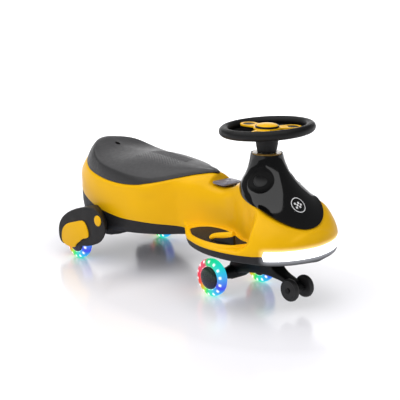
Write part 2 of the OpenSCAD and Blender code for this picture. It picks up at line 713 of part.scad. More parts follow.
// Seen from above, the front of a fender slants back to the body
fender_slant = 1.2;
module slanted() {
  multmatrix([[1, fender_slant, 0, -fender_slant * fender_out_y], [0, 1, 0, 0], [0, 0, 1, 0]]) children();
}
module fender_bulk() {
  hull() {
    fender_prism(fender_in_y, fender_out_y - 9, 0);
    fender_prism(fender_out_y - 4, fender_out_y - 3.9, -2);
    fender_prism(fender_out_y - 1, fender_out_y, -5);
  }
}
module rear_fender(left) {
  well_y = rear_y - wheel_w / 2 - 3;
  color(black) both_sides(left) resize([0, 0, 0]) difference() {
    intersection() {
      fender_bulk();
      slanted() fender_bulk();
    }
    along_y(axle_x, well_y, wheel_r) cylinder(r = wheel_r + 5, h = wheel_w + 8);
    difference() {
      intersection() {
        fender_prism(fender_in_y - 1, well_y - fender_wall, -fender_wall);
        slanted() fender_prism(fender_in_y - 1, well_y - fender_wall, -fender_wall);
      }
      along_y(axle_x, 0, wheel_r) cylinder(r = axle_r + 7, h = rear_y);
    }
    along_y(axle_x, 0, wheel_r) cylinder(r = axle_r + seat_gap / 2, h = rear_y);
    pod_room(2 * seat_gap);
  }
}
module rear_fender_left() { rear_fender(true); }
module rear_fender_right() { rear_fender(false); }

disc_t = 4;
// Outline of a rear disc from the rear axle on the floor: place and height
disc_outline = [
  [-45, 39], [-46, 60], [-40, 74], [-23, 88], [12, 101], [45, 110], [56, 105], [67, 88],
  [69, 74], [60, 68], [43, 62], [31, 53], [17, 43], [8, 33], [-8, 31], [-30, 31]
];
module rear_disc(left) {
  color(yellow) both_sides(left) along_y(axle_x, fender_out_y + seat_gap, 0)
    linear_extrude(disc_t - seat_gap)
      polygon([for (p = disc_outline) [p[0], -p[1]]]);
}
module rear_disc_left() { rear_disc(true); }
module rear_disc_right() { rear_disc(false); }
button_d = 27;
button_t = 3;
button_place = [108, 123];
module fender_button(left) {
  color(yellow) both_sides(left) along_y(axle_x + button_place[0], fender_out_y + seat_gap, button_place[1])
    cylinder(d = button_d, h = button_t);
}
module fender_button_left() { fender_button(true); }
module fender_button_right() { fender_button(false); }

// Wheels, drawn about their own middle with the outer side at +Y

core_r = wheel_r - 18;
core_w = wheel_w - 6;
nut_h = 4;
module turned(points) { rotate([-90, 0, 0]) rotate_extrude() polygon(points); }
module tyre() {
  h = wheel_w / 2;
  turned([
    [core_r + seat_gap / 2, -h + 3], [core_r + 4, -h], [wheel_r - 7, -h], [wheel_r - 2.5, -h + 3],
    [wheel_r, -h + 9], [wheel_r, h - 9], [wheel_r - 2.5, h - 3], [wheel_r - 7, h], [core_r + 4, h],
    [core_r + seat_gap / 2, h - 3]
  ]);
}
// The core runs on the axle
module core() {
  h = core_w / 2;
  turned([
    [axle_r + run_fit, -h], [core_r - 9, -h], [core_r - 7, -h + 4], [core_r - 3, -h + 4],
    [core_r - 1.5, -h], [core_r, -h], [core_r, h], [axle_r + run_fit, h]
  ]);
}
module cap(dome) {
  h = core_w / 2 + seat_gap;
  r = core_r - 0.5;
  room = nut_h + 1.2;
  difference() {
    turned(concat(
      [[0, h], [r, h]],
      [for (i = [0:8]) let (a = i * 90 / 8) [i == 8 ? 0 : r * cos(a), h + 2 + dome * sin(a)]]
    ));
    rotate([-90, 0, 0]) cylinder(r = axle_r + 4.5, h = h + room);
  }
}
module axle_end(x, y, z) {
  along_y(x, y, z) cylinder(r = axle_r + 3, h = nut_h, $fn = 6);
}
front_dome = 8;
rear_dome = nut_h + 0.6;
module at_front(left) { both_sides(left) translate([front_x, front_y, wheel_r]) children(); }
module at_rear(left) { both_sides(left) translate([axle_x, rear_y, wheel_r]) children(); }
tyre_colour = [0.75, 0.95, 0.9];
module front_tyre_left() { color(tyre_colour) at_front(true) tyre(); }
module front_tyre_right() { color(tyre_colour) at_front(false) tyre(); }
module front_core_left() { color(dark) at_front(true) core(); }
module front_core_right() { color(dark) at_front(false) core(); }
module front_cap_left() { color(black) at_front(true) cap(front_dome); }
module front_cap_right() { color(black) at_front(false) cap(front_dome); }
module rear_tyre_left() { color(tyre_colour) at_rear(true) tyre(); }
module rear_tyre_right() { color(tyre_colour) at_rear(false) tyre(); }
module rear_core_left() { color(dark) at_rear(true) core(); }
module rear_core_right() { color(dark) at_rear(false) core(); }
module rear_cap_left() { color(black) at_rear(true) cap(rear_dome); }
module rear_cap_right() { color(black) at_rear(false) cap(rear_dome); }

nut_gap = 0.4;
module rear_axles() {
  start = fender_in_y + 4;
  end = rear_y + core_w / 2 + nut_gap;
  color(steel) for (left = [true, false]) both_sides(left) {
    along_y(axle_x, start, wheel_r) cylinder(r = axle_r, h = end - start + 0.5);
    axle_end(axle_x, end, wheel_r);
  }
}
module front_axle() {
  end = front_y + core_w / 2 + nut_gap;
  color(steel) {
    along_y(front_x, -end - 0.5, wheel_r) cylinder(r = axle_r, h = 2 * end + 1);
    for (left = [true, false]) both_sides(left) axle_end(front_x, end, wheel_r);
  }
}
module tip_axle() {
  end = tip_y + tip_wheel_w / 2 + nut_gap;
  color(steel) {
    along_y(tip_x, -end - 0.5, tip_z) cylinder(d = tip_axle_d, h = 2 * end + 1);
    for (left = [true, false]) both_sides(left)
      along_y(tip_x, end, tip_z) cylinder(d = tip_axle_d + 6, h = 2);
  }
}
module tip_wheel(left) {
  h = tip_wheel_w / 2;
  color(black) both_sides(left) translate([tip_x, tip_y, tip_z]) turned([
    [tip_axle_d / 2 + run_fit, -h], [tip_r - 4, -h], [tip_r - 1, -h + 2.5], [tip_r, 0],
    [tip_r - 1, h - 2.5], [tip_r - 4, h], [tip_axle_d / 2 + run_fit, h]
  ]);
}
module tip_wheel_left() { tip_wheel(true); }
module tip_wheel_right() { tip_wheel(false); }

// Steering fork: a T shaped arm under the nose

fork_top_z = 118;
beam_w = 42;
arm_w = tip_track - tip_wheel_w - 2;
cross_r = 13;
cross_l = front_track - wheel_w - 4;
hub_r = shaft_r + 14;
fork_foot = 62;
module beam_side() {
  polygon([
    [-trail - 6, wheel_r - 9], [-trail - 11, wheel_r + 4], [-trail - 6, wheel_r + 30],
    [-trail + 10, wheel_r + 54], [-60, fork_top_z - 6], [-38, fork_top_z], [26, fork_top_z],
    [34, fork_top_z - 10], [44, fork_foot + 26], [62, fork_foot + 16], [86, fork_foot + 9],
    [lead + 6, tip_z + 11], [lead + 12, tip_z], [lead + 6, tip_z - 10], [lead - 8, tip_z - 8],
    [82, fork_foot - 4], [60, fork_foot], [0, fork_foot - 1], [-36, fork_foot - 7],
    [-trail + 22, wheel_r + 1]
  ]);
}
module side_slab(w) { translate([column_x, w / 2, 0]) rotate([90, 0, 0]) linear_extrude(w) beam_side(); }
module fork() {
  color(black) difference() {
    union() {
      intersection() {
        side_slab(beam_w);
        translate([column_x - 2 * trail, -beam_w, 0]) cube([2 * trail + 70, 2 * beam_w, fork_top_z + 10]);
      }
      side_slab(arm_w);
      translate([column_x, 0, fork_foot + 20]) cylinder(r = hub_r, h = fork_top_z - fork_foot - 20);
      along_y(front_x, -cross_l / 2, wheel_r) cylinder(r = cross_r, h = cross_l);
    }
    translate([column_x, 0, fork_foot + 14]) cylinder(r = shaft_r + run_fit, h = 100);
    along_y(front_x, -200, wheel_r) cylinder(r = axle_r + run_fit, h = 400);
    along_y(tip_x, -100, tip_z) cylinder(d = tip_axle_d + 2 * run_fit, h = 200);
  }
}
module thrust_washer() {
  h = floor_z - bush_flange_t - 2.3 * seat_gap - fork_top_z;
  color(steel) translate([column_x, 0, fork_top_z]) tube(hub_r - 4, shaft_r + run_fit, h);
}
shaft_foot_z = fork_foot + 14;
hub_z = rim_z - 1.5;
spoke_z = hub_z - spoke_t / 2;
module steering_shaft() {
  color(steel) translate([column_x, 0, shaft_foot_z])
    tube(shaft_r, shaft_r - 2.5, spoke_z - shaft_foot_z - seat_gap);
}
stem_foot_z = collar_z + 1;
stem_top_z = spoke_z - seat_gap;
module stem() {
  color(black) translate([column_x, 0, 0]) rotate_extrude() polygon([
    [shaft_r + run_fit, stem_foot_z], [stem_foot_d / 2, stem_foot_z],
    [stem_foot_d / 2 + 2, stem_foot_z + 12], [stem_top_d / 2, stem_foot_z + 24],
    [stem_top_d / 2, stem_top_z], [shaft_r + run_fit, stem_top_z]
  ]);
}

// Steering wheel

rim_r = rim_d / 2 - rim_t / 2;
hub_plate_r = 31;
spoke_r = 20;
spoke_gap = 8;
spoke_reach = rim_r - rim_t / 2 - spoke_r - spoke_gap;
spoke_turns = [60, 180, 300];
module on_hub() { translate([column_x, 0, hub_z]) children(); }
web_t = 2.5;
web_r = rim_r - rim_t / 2;
web_sink = rim_t / 2 + 0.5;
web_bore_r = stem_top_d / 2 + 0.5;
web_seat_r = hub_plate_r - 2;
module on_rim() {
  translate([column_x, 0, rim_z]) rotate([0, 0, rim_tilt_turn]) rotate([0, -rim_tilt, 0]) children();
}
// The rim with the dished web inside it, and the level seat of the spoke plate
module steering_rim() {
  color(black) difference() {
    union() {
      on_rim() rotate_extrude($fn = 96) translate([rim_r, 0]) circle(d = rim_t, $fn = 32);
      on_rim() rotate_extrude($fn = 96) polygon([
        [web_bore_r - 3, -web_sink - web_t], [web_bore_r - 3, -web_sink], [web_r - 6, -web_sink],
        [web_r + 4, -web_sink + 7], [web_r + 7, -web_sink + 5], [web_r - 4, -web_sink - web_t]
      ]);
      translate([column_x, 0, rim_z - web_sink - web_t])
        cylinder(r = web_seat_r, h = spoke_z - seat_gap - rim_z + web_sink + web_t);
    }
    translate([column_x, 0, 0]) cylinder(r = web_bore_r, h = 2 * rim_z);
  }
}
module spoke_lobe() {
  linear_extrude(spoke_t) difference() {
    hull() {
      translate([spoke_reach, 0]) circle(r = spoke_r);
      translate([10, 0]) circle(r = spoke_r - 9);
    }
    intersection() {
      translate([spoke_reach, 0]) circle(r = spoke_r - 6);
      translate([spoke_reach - 11, -40]) square([80, 80]);
    }
  }
}
module steering_spokes() {
  color(yellow) on_hub() translate([0, 0, spoke_z - hub_z]) difference() {
    union() {
      cylinder(r = hub_plate_r, h = spoke_t);
      for (a = spoke_turns) rotate([0, 0, a]) spoke_lobe();
    }
    translate([0, 0, spoke_t - cup_sink]) cylinder(r = cup_r + seat_gap, h = 2 * spoke_t);
  }
}
cup_wall = 2;
cup_r = horn_d / 2 + cup_wall + 0.1;
cup_h = 9.5;
cup_sink = 5;
cup_floor = 3;
cup_foot = spoke_z - hub_z + spoke_t - cup_sink + seat_gap;
module horn_cup() {
  color(black) on_hub() translate([0, 0, cup_foot]) difference() {
    cylinder(r = cup_r, h = cup_h);
    translate([0, 0, cup_floor]) cylinder(r = cup_r - cup_wall, h = cup_h);
  }
}
switch_h = 1.5;
module horn_switch() {
  color(dark) on_hub() translate([-6, -6, cup_foot + cup_floor]) cube([12, 12, switch_h]);
}
button_foot = cup_foot + cup_floor + switch_h + horn_travel + seat_gap;
module horn_button() {
  r = horn_d / 2;
  h = 5;
  color(yellow) on_hub() translate([0, 0, button_foot]) rotate_extrude() polygon(concat(
    [[0, 0], [r - seat_gap, 0]],
    [for (i = [0:8]) let (a = i * 90 / 8) [i == 8 ? 0 : (r - seat_gap) * cos(a), 1.5 + h * sin(a)]]
  ));
}

body_shell();
chassis_tub();
seat();
cowl();
cowl_cap_left();
cowl_cap_right();
column_housing();
column_collar();
upper_bush();
lower_bush();
foot_pad_left();
foot_pad_right();
foot_stop_left();
foot_stop_right();
foot_stop_cap_left();
foot_stop_cap_right();
music_pad_base();
music_pad();
speaker();
headlight_lens();
headlight_board();
battery_box();
battery_cells();
tub_screws();
rear_fender_left();
rear_fender_right();
rear_disc_left();
rear_disc_right();
fender_button_left();
fender_button_right();
rear_axles();
fork();
thrust_washer();
steering_shaft();
stem();
steering_spokes();
steering_rim();
horn_cup();
horn_switch();
horn_button();
front_axle();
tip_axle();
front_tyre_left();
front_core_left();
front_cap_left();
front_tyre_right();
front_core_right();
front_cap_right();
rear_tyre_left();
rear_core_left();
rear_cap_left();
rear_tyre_right();
rear_core_right();
rear_cap_right();
tip_wheel_left();
tip_wheel_right();
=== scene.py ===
"""Wiggle car: a ride-on that is driven by swinging its steering wheel. Sizes are in millimetres."""

import math

import bpy
from mathutils import Matrix, Vector


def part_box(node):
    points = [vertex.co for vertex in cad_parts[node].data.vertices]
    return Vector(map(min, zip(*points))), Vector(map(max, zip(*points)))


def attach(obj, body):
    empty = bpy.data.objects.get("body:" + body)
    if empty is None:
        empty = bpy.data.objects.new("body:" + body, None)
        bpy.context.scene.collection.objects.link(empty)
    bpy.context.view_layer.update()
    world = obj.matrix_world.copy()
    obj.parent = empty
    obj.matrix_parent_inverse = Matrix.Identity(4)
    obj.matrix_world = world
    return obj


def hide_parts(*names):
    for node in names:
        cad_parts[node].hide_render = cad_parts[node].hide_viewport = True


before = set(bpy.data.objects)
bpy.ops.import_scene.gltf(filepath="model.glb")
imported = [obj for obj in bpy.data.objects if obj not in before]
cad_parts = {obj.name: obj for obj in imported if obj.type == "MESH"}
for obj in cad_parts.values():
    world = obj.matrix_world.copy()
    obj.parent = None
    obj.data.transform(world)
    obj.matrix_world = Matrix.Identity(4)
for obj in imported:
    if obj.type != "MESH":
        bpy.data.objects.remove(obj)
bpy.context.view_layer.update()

MM = 0.001

# Sizes that the pieces share

WHEEL_R, WHEEL_W = 45, 24
TIP_R, TIP_W = 26, 14
STEER_X = 250
FRONT_X, FRONT_Y = 155, 78.5
REAR_X, REAR_Y = -291.5, 137
TIP_X, TIP_Y, TIP_Z = 354, 23.5, 52
CORE_R, CORE_W = 27, 18
RIM_R, RIM_T, RIM_Z = 98, 22, 401.5
RIM_LEAN, RIM_LEAN_TURN = math.radians(4), math.radians(30)
HUB_Z = 400
LAMP_TOP_Z, LAMP_H = 162, 21
LIT_FROM_X, LIT_FULL_X = 352, 372
NOSE_FOOT_Z = 128.5
FENDER_IN, FENDER_OUT, FENDER_SLANT = 99, 156, 1.2
PAD_X, PAD_Z = 118.5, 246.8
SHELL_WALL, SEAT_WALL, COWL_WALL = 2.6, 3.5, 2.4
CAP_PLACE = Vector((281, 49, 295))
CAP_AXIS = Vector((0.406, 0.650, 0.643)).normalized()
BOWL_DEPTH, BOWL_FLAT_R, BOWL_R = 1.8, 22, 32
VENT_X, VENT_L, VENT_W = -303, 8.6, 5.6
RIB_PITCH, RIB_RAKE, RIB_HALF = 10.5, 1.5, 46
RIB_REAR, RIB_FRONT = -182, -30
LOBE_REACH, LOBE_R = 59, 13.8
TYRE_LAMPS = 14
MARK_LIFT = 0.15
BEAD_CLEAR = 2.6

# Lines of the car's surface: place along the car, then half width and height, or one of the two

SEAT_EDGE = [
    (-402, 0, 236), (-396, 20, 238), (-380, 38, 241), (-360, 56, 241), (-335, 76, 237),
    (-310, 91, 231), (-280, 103, 226), (-235, 113, 222), (-190, 118, 220), (-135, 118, 221),
    (-85, 114, 227), (-55, 104, 234), (-25, 90, 242), (-3, 72, 249), (20, 54, 257),
    (40, 37, 263), (64, 20, 268), (80, 9, 271), (90, 0, 272),
]
SEAT_RIM = [
    (-402, 0, 238), (-398, 6, 251), (-390, 9, 264), (-378, 14, 273), (-364, 22, 280),
    (-350, 32, 284), (-338, 43, 285), (-327, 53, 284), (-314, 65, 281), (-300, 77, 275),
    (-284, 87, 268), (-265, 96, 261), (-240, 104, 255), (-210, 108, 251), (-155, 110, 247),
    (-110, 108, 245), (-60, 99, 246), (-34, 86, 250), (0, 58, 260), (26, 38, 266),
    (54, 20, 271), (76, 8, 274), (90, 0, 273),
]
SEAT_CROWN = [
    (-402, 238), (-398, 251), (-390, 266), (-378, 277), (-364, 285), (-350, 290), (-335, 290),
    (-315, 282), (-290, 275.5), (-265, 273), (-230, 272.5), (-195, 274), (-165, 277), (-130, 278),
    (-85, 277), (-45, 275), (-5, 275), (34, 275), (64, 275), (80, 274), (90, 273),
]
BODY_EDGE = [
    (-414, 0, 200), (-411, 8, 213), (-405, 15, 227), (-397, 21, 235),
    *[(x, half - 1, z - 1) for x, half, z in SEAT_EDGE if -390 < x < 0],
    (20, 53, 255), (40, 36, 261), (64, 21, 266), (80, 15, 268), (89, 14, 265),
    (92, 15, 256), (95, 17, 249), (99, 19, 246), (115, 20, 245), (140, 22, 245), (155, 23, 249),
    (168, 24, 255), (178, 24, 262), (187, 24, 268), (196, 30, 271), (210, 45, 271), (237, 61, 267),
    (269, 75, 258), (299, 85, 246), (320, 87, 239), (344, 81, 227), (364, 66, 216),
    (374, 55, 210), (384, 38, 203), (391, 20, 198), (395, 10, 196), (402, 7, 193),
    (409, 5, 183), (414, 0, 172),
]
BODY_SHOULDER = [
    (-414, 0, 192), (-410, 14, 204), (-400, 32, 214), (-385, 49, 220), (-365, 66, 222),
    (-345, 80, 220), (-305, 100, 214), (-245, 117, 206), (-165, 122, 204), (-95, 118, 209),
    (-50, 107, 216), (-5, 78, 229), (20, 64, 238), (40, 55, 245), (64, 46, 250), (92, 39, 246),
    (115, 39, 240), (140, 39, 238), (165, 41, 241), (187, 46, 250), (210, 54, 256),
    (237, 64, 254), (269, 78, 244), (299, 87, 234), (414, 90, 220),
]
BODY_SIDE = [
    (-414, 0), (-410, 16), (-400, 37), (-385, 55), (-365, 72), (-345, 85), (-325, 96),
    (-305, 104), (-275, 113), (-245, 119), (-205, 123), (-165, 124), (-125, 122), (-95, 119),
    (-65, 111), (-35, 98), (-5, 80), (15, 68), (35, 62), (65, 55), (95, 50), (125, 48),
    (155, 47), (180, 49), (205, 55), (225, 63), (245, 72), (262, 78), (278, 81), (310, 88),
    (414, 90),
]
DECK_ROOT = [
    (-414, 0, 160), (20, 68, 148), (35, 61, 146), (55, 59, 147), (85, 56, 153), (130, 52, 158),
    (170, 50, 160), (196, 53, 160), (214, 59, 160), (232, 67, 160), (250, 75, 160),
    (266, 80, 160), (280, 84, 160), (300, 90, 160), (414, 95, 160),
]
OUTLINE = [
    (-414, 0), (-410, 16), (-400, 37), (-385, 55), (-365, 72), (-345, 84), (-325, 94),
    (-305, 102), (-275, 111), (-245, 116), (-205, 120), (-165, 121), (-125, 119), (-95, 116),
    (-65, 108), (-35, 95), (-5, 77), (15, 66), (30, 62), (42, 66), (57, 78), (82, 98),
    (108, 118), (139, 138), (170, 150), (200, 157), (225, 159), (251, 158), (283, 153),
    (310, 145), (332, 136), (350, 127), (364, 117), (377, 104), (390, 86), (400, 66),
    (408, 42), (412, 22), (414, 0),
]
PARTING = [
    (-414, 166), (-385, 163), (-345, 158), (-315, 154), (-275, 147), (-245, 142), (-210, 138),
    (-180, 136), (-135, 134), (-85, 136), (-45, 136), (5, 136), (35, 136), (60, 138), (85, 141),
    (110, 143), (140, 145), (180, 146), (250, 147), (310, 148), (340, 149), (350, 150), (360, 151),
    (361.5, 151.5), (364, 161), (365, 162), (375, 162), (414, 162),
]
HOOD_FOOT = [
    (-414, 150), (300, 148), (325, 149), (342, 152), (354, 157), (363, 160.6), (372, 162), (414, 162),
]
DECK_HEIGHT = [(-414, 150), (60, 142), (85, 147), (110, 151), (140, 153), (180, 154), (414, 155)]
BELLY = [
    (-414, 0, 156), (-404, 20, 148), (-385, 36, 130), (-355, 56, 105), (-320, 68, 84),
    (-280, 75, 64), (-240, 80, 61), (-210, 83, 69), (-180, 84, 84), (-130, 84, 92), (-80, 82, 99),
    (-30, 73, 106), (10, 58, 113), (40, 50, 118), (60, 58, 122), (82, 80, 126), (108, 104, NOSE_FOOT_Z),
    *[(x, half - 12, NOSE_FOOT_Z) for x, half in OUTLINE if 130 < x < 395],
    (400, 53, NOSE_FOOT_Z), (408, 26, NOSE_FOOT_Z), (414, 0, NOSE_FOOT_Z),
]
# Rings of the cowl: rear place and height, side place, half width and height, front place and height
COWL_RINGS = [
    (-37, 346, 0, 37, 346, 37, 346), (-38, 335, 0, 39, 334, 40, 336),
    (-41, 319, 1, 43.5, 316, 47, 321), (-44, 306, 5, 52, 299, 59, 301),
    (-49, 295, 13, 64, 283, 76, 278), (-52, 288, 26, 75, 269, 92, 256),
    (-54, 282, 40, 82, 257, 110, 235), (-55.5, 277, 52, 86, 250, 127, 217),
    (-56.5, 273, 62, 88, 246, 144, 200),
]
# Foot panel: place, inner edge and outer edge from the middle of the car
FOOT_ROWS = [
    (97, 84, 94), (102, 75, 101), (112, 67, 109), (128, 61, 121), (150, 59, 134), (180, 59, 142),
    (210, 66, 145), (235, 76, 143), (252, 83, 139), (266, 87, 132), (275, 88, 125),
    (281, 89, 115), (286, 91, 104),
]
# Outlines from the rear axle on the floor: place and height
FENDER_OUTLINE = [
    (-63, 36), (-69, 52), (-67, 77), (-54, 98), (-32, 115), (-4, 129), (24, 139), (52, 146),
    (78, 149), (96, 148), (110, 143), (124, 133), (135, 120), (140, 108), (138, 97), (128, 79),
    (117, 68), (97, 57), (64, 45), (33, 38), (6, 31), (-38, 27), (-56, 30),
]
DISC_OUTLINE = [
    (-45, 39), (-46, 60), (-40, 74), (-23, 88), (12, 101), (45, 110), (56, 105), (67, 88),
    (69, 74), (60, 68), (43, 62), (31, 53), (17, 43), (8, 33), (-8, 31), (-30, 31),
]
STOP_LINE = [(212, 132, 162), (216, 132, 167), (225, 131, 171), (250, 127, 177), (276, 120.5, 183)]
BODY_STATIONS = [
    -414, -412, -408, -402, -394, -382, -366, -346, -322, -292, -256, -216, -176, -136, -100,
    -70, -44, -20, 0, 18, 34, 48, 62, 78, 89, 92, 95, 99, 108, 120, 136, 154, 168, 178, 187, 196,
    206, 220, 236, 252, 268, 280, 289, 297, 305, 314, 326, 340, 350, 357, 360.5, 361.5, 362.5,
    363.5, 364.5, 366, 369, 374, 383, 392, 399, 405, 409, 412, 413.2, 413.8, 414,
]


# Smooth lines


def slope(table, i, column):
    a, b = table[max(0, i - 1)], table[min(len(table) - 1, i + 1)]
    return (b[column] - a[column]) / (b[0] - a[0])


def along(table, x, column=1):
    """A value at a place along the car, on a smooth curve through the table's rows."""
    i = 0
    while i < len(table) - 2 and x >= table[i + 1][0]:
        i += 1
    h = table[i + 1][0] - table[i][0]
    s = (x - table[i][0]) / h
    return (
        (2 * s**3 - 3 * s**2 + 1) * table[i][column]
        + (s**3 - 2 * s**2 + s) * h * slope(table, i, column)
        + (3 * s**2 - 2 * s**3) * table[i + 1][column]
        + (s**3 - s**2) * h * slope(table, i + 1, column)
    )


def half_width(table, x):
    """Half widths run as squares, which rounds the ends of an outline."""
    return math.sqrt(max(0.0, along([(r[0], r[1] ** 2) for r in table], x)))


def at(table, x):
    """Half width and height at a place along the car."""
    return Vector((half_width(table, x), along(table, x, 2)))


def ease(a, b, x):
    s = max(0.0, min(1.0, (x - a) / (b - a)))
    return s * s * (3 - 2 * s)


def mix(a, b, k):
    return a + (b - a) * k


def spread(stations, per):
    places = [mix(a, b, i / per) for a, b in zip(stations, stations[1:]) for i in range(per)]
    return places + [stations[-1]]


def fair(points, per, closed=False):
    """Points on a smooth line through the given points, so many for each span."""
    points = [Vector(p) for p in points]
    n = len(points)
    if closed:
        around = [points[-1], *points, points[0], points[1]]
    else:
        around = [2 * points[0] - points[1], *points, 2 * points[-1] - points[-2]]
    line = []
    for i in range(n if closed else n - 1):
        a, b, c, d = around[i : i + 4]
        t1 = max(1e-3, (b - a).length ** 0.5)
        t2 = t1 + max(1e-3, (c - b).length ** 0.5)
        t3 = t2 + max(1e-3, (d - c).length ** 0.5)
        for k in range(per):
            t = mix(t1, t2, k / per)
            ab = a.lerp(b, t / t1)
            bc = b.lerp(c, (t - t1) / (t2 - t1))
            cd = c.lerp(d, (t - t2) / (t3 - t2))
            abc = ab.lerp(bc, t / t2)
            bcd = bc.lerp(cd, (t - t1) / (t3 - t1))
            line.append(abc.lerp(bcd, (t - t1) / (t2 - t1)))
    return line if closed else [*line, points[-1]]


def arc(start, end, steps):
    return [math.radians(mix(start, end, i / steps)) for i in range(steps + 1)]


def mirrored(half):
    """A section that is the same on both sides of its middle, from the points of one side."""
    return [*half, *[(r, -h) for r, h in reversed(half)]]


def full_turn(steps):
    return [i * math.tau / steps for i in range(steps)]


# Bench work


def deselect():
    bpy.ops.object.select_all(action="DESELECT")


def only(piece):
    deselect()
    piece.select_set(True)
    bpy.context.view_layer.objects.active = piece


def open_mesh(piece):
    only(piece)
    bpy.ops.object.mode_set(mode="EDIT")
    bpy.ops.mesh.select_all(action="SELECT")


def close_mesh():
    bpy.ops.object.mode_set(mode="OBJECT")


def named(name):
    piece = bpy.context.active_object
    piece.name = piece.data.name = name
    return piece


def lay(piece, points):
    piece.data.vertices.foreach_set("co", [c * MM for p in points for c in p])
    piece.data.update()


def skin(name, rows, wrap=False, cap=False, turn=False):
    """A grid laid over rows of points; wrap joins its sides and cap fills its open ends."""
    deselect()
    rows = [[*r, r[0]] for r in rows] if wrap else rows
    bpy.ops.mesh.primitive_grid_add(x_subdivisions=len(rows[0]) - 1, y_subdivisions=len(rows) - 1)
    piece = named(name)
    lay(piece, [p for r in rows for p in r])
    open_mesh(piece)
    bpy.ops.mesh.remove_doubles(threshold=0.02 * MM)
    if cap:
        bpy.ops.mesh.fill_holes(sides=0)
    if turn:
        bpy.ops.mesh.normals_make_consistent(inside=False)
    close_mesh()
    return piece


def facing(piece, way):
    """Turns a skin so that its face furthest along a direction looks that way."""
    way = Vector(way)
    face = max(piece.data.polygons, key=lambda f: f.center.dot(way))
    if face.normal.dot(way) < 0:
        piece.data.flip_normals()
    return piece


def plate(name, outline, low, high, place):
    """An outline filled and drawn out between two heights; place puts a point in the car."""
    deselect()
    bpy.ops.mesh.primitive_circle_add(vertices=len(outline), fill_type="NGON")
    piece = named(name)
    lay(piece, [place(p[0], p[1], low) for p in outline])
    up = (Vector(place(0, 0, high)) - Vector(place(0, 0, low))) * MM
    open_mesh(piece)
    bpy.ops.mesh.extrude_region_move(TRANSFORM_OT_translate={"value": up})
    bpy.ops.mesh.select_all(action="SELECT")
    bpy.ops.mesh.normals_make_consistent(inside=False)
    close_mesh()
    return piece


def spun(name, section, steps, place):
    """A closed section of radius and height, spun round an axle; place puts a point in the car."""
    deselect()
    bpy.ops.mesh.primitive_circle_add(vertices=len(section), fill_type="NOTHING")
    piece = named(name)
    lay(piece, [(r, 0, h) for r, h in section])
    open_mesh(piece)
    bpy.ops.mesh.spin(steps=steps, angle=math.tau, center=(0, 0, 0), axis=(0, 0, 1))
    bpy.ops.mesh.select_all(action="SELECT")
    bpy.ops.mesh.remove_doubles(threshold=0.02 * MM)
    bpy.ops.mesh.delete_loose()
    bpy.ops.mesh.select_all(action="SELECT")
    bpy.ops.mesh.normals_make_consistent(inside=False)
    close_mesh()
    piece.data.transform(place)
    return piece


def swept(name, line, section, closed=False):
    """A bar of the given cross section along a line; section gives its points for a share of the way."""
    rows = []
    n = len(line)
    for i, p in enumerate(line):
        a = line[(i - 1) % n] if closed or i else p
        b = line[(i + 1) % n] if closed or i < n - 1 else p
        way = (Vector(b) - Vector(a)).normalized()
        across = way.cross(Vector((0, 0, 1))).normalized()
        up = across.cross(way)
        rows.append([Vector(p) + across * u + up * v for u, v in section(i / (n - 1))])
    if closed:
        rows.append(rows[0])
    return skin(name, rows, wrap=True, cap=not closed, turn=True)


def column(z=0):
    return Matrix.Translation((STEER_X * MM, 0, z * MM))


def on_axle(x, y, z, side):
    """Heights along the axle point outwards."""
    return Matrix.Translation((x * MM, y * MM, z * MM)) @ Matrix.Rotation(math.radians(-90 * side), 4, "X")


def modified(piece, kind, **settings):
    only(piece)
    bpy.ops.object.modifier_add(type=kind)
    modifier = piece.modifiers[-1]
    for key, value in settings.items():
        setattr(modifier, key, value)
    bpy.ops.object.modifier_apply(modifier=modifier.name)
    return piece


def wall(piece, thickness):
    return modified(piece, "SOLIDIFY", thickness=thickness * MM, offset=-1)


def eased(piece, width, steps=3, angle=32):
    return modified(
        piece, "BEVEL", width=width * MM, segments=steps, limit_method="ANGLE",
        angle_limit=math.radians(angle),
    )


def cut(piece, tool):
    modified(piece, "BOOLEAN", operation="DIFFERENCE", object=tool, solver="EXACT")
    bpy.data.objects.remove(tool)
    return piece


def joined(name, *pieces):
    deselect()
    for piece in pieces:
        piece.select_set(True)
    bpy.context.view_layer.objects.active = pieces[0]
    bpy.ops.object.join()
    return named(name)


def on_surface(piece, carrier, outward, lift):
    """Lays a flat mark on the surface below it."""
    for v in piece.data.vertices:
        hit, place, normal, _ = carrier.ray_cast(v.co + outward * 60 * MM, -outward)
        if hit:
            v.co = place + normal * lift * MM
    piece.data.update()


def copied(piece, name):
    other = piece.copy()
    other.data = piece.data.copy()
    other.name = other.data.name = name
    bpy.context.scene.collection.objects.link(other)
    return other


def softened(node, name, width, steps=2):
    """A copy of a CAD node with its edges broken."""
    piece = copied(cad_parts[node], name)
    for key in list(piece.keys()):
        del piece[key]
    piece.parent = None
    open_mesh(piece)
    bpy.ops.mesh.remove_doubles(threshold=0.01 * MM)
    bpy.ops.mesh.dissolve_limited(angle_limit=math.radians(3))
    close_mesh()
    return eased(piece, width, steps, 40)


def twin(piece, name):
    """The same piece on the other side of the car."""
    other = copied(piece, name)
    other.data.transform(Matrix.Diagonal((1, -1, 1, 1)))
    other.data.flip_normals()
    return other


def dress(piece, finish):
    piece.data.materials.clear()
    piece.data.materials.append(finish.material)


def fit(piece, finish, body, slot, *nodes, smooth=38):
    """Finishes a piece, mounts it on its body and lets it stand for its CAD nodes."""
    dress(piece, finish)
    only(piece)
    bpy.ops.object.shade_smooth_by_angle(angle=math.radians(smooth))
    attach(piece, body)
    if nodes:
        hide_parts(*nodes)
    return piece


def fit_pair(piece, finish, slot, node=None, smooth=38):
    """Fits a chassis piece of one side and its twin on the other, for the CAD nodes of both sides."""
    stem, side = piece.name.rsplit("_", 1)
    other = {"left": "right", "right": "left"}[side]
    for half, word in ((twin(piece, f"{stem}_{other}"), other), (piece, side)):
        fit(half, finish, "chassis", slot, *([f"{node}_{word}"] if node else []), smooth=smooth)


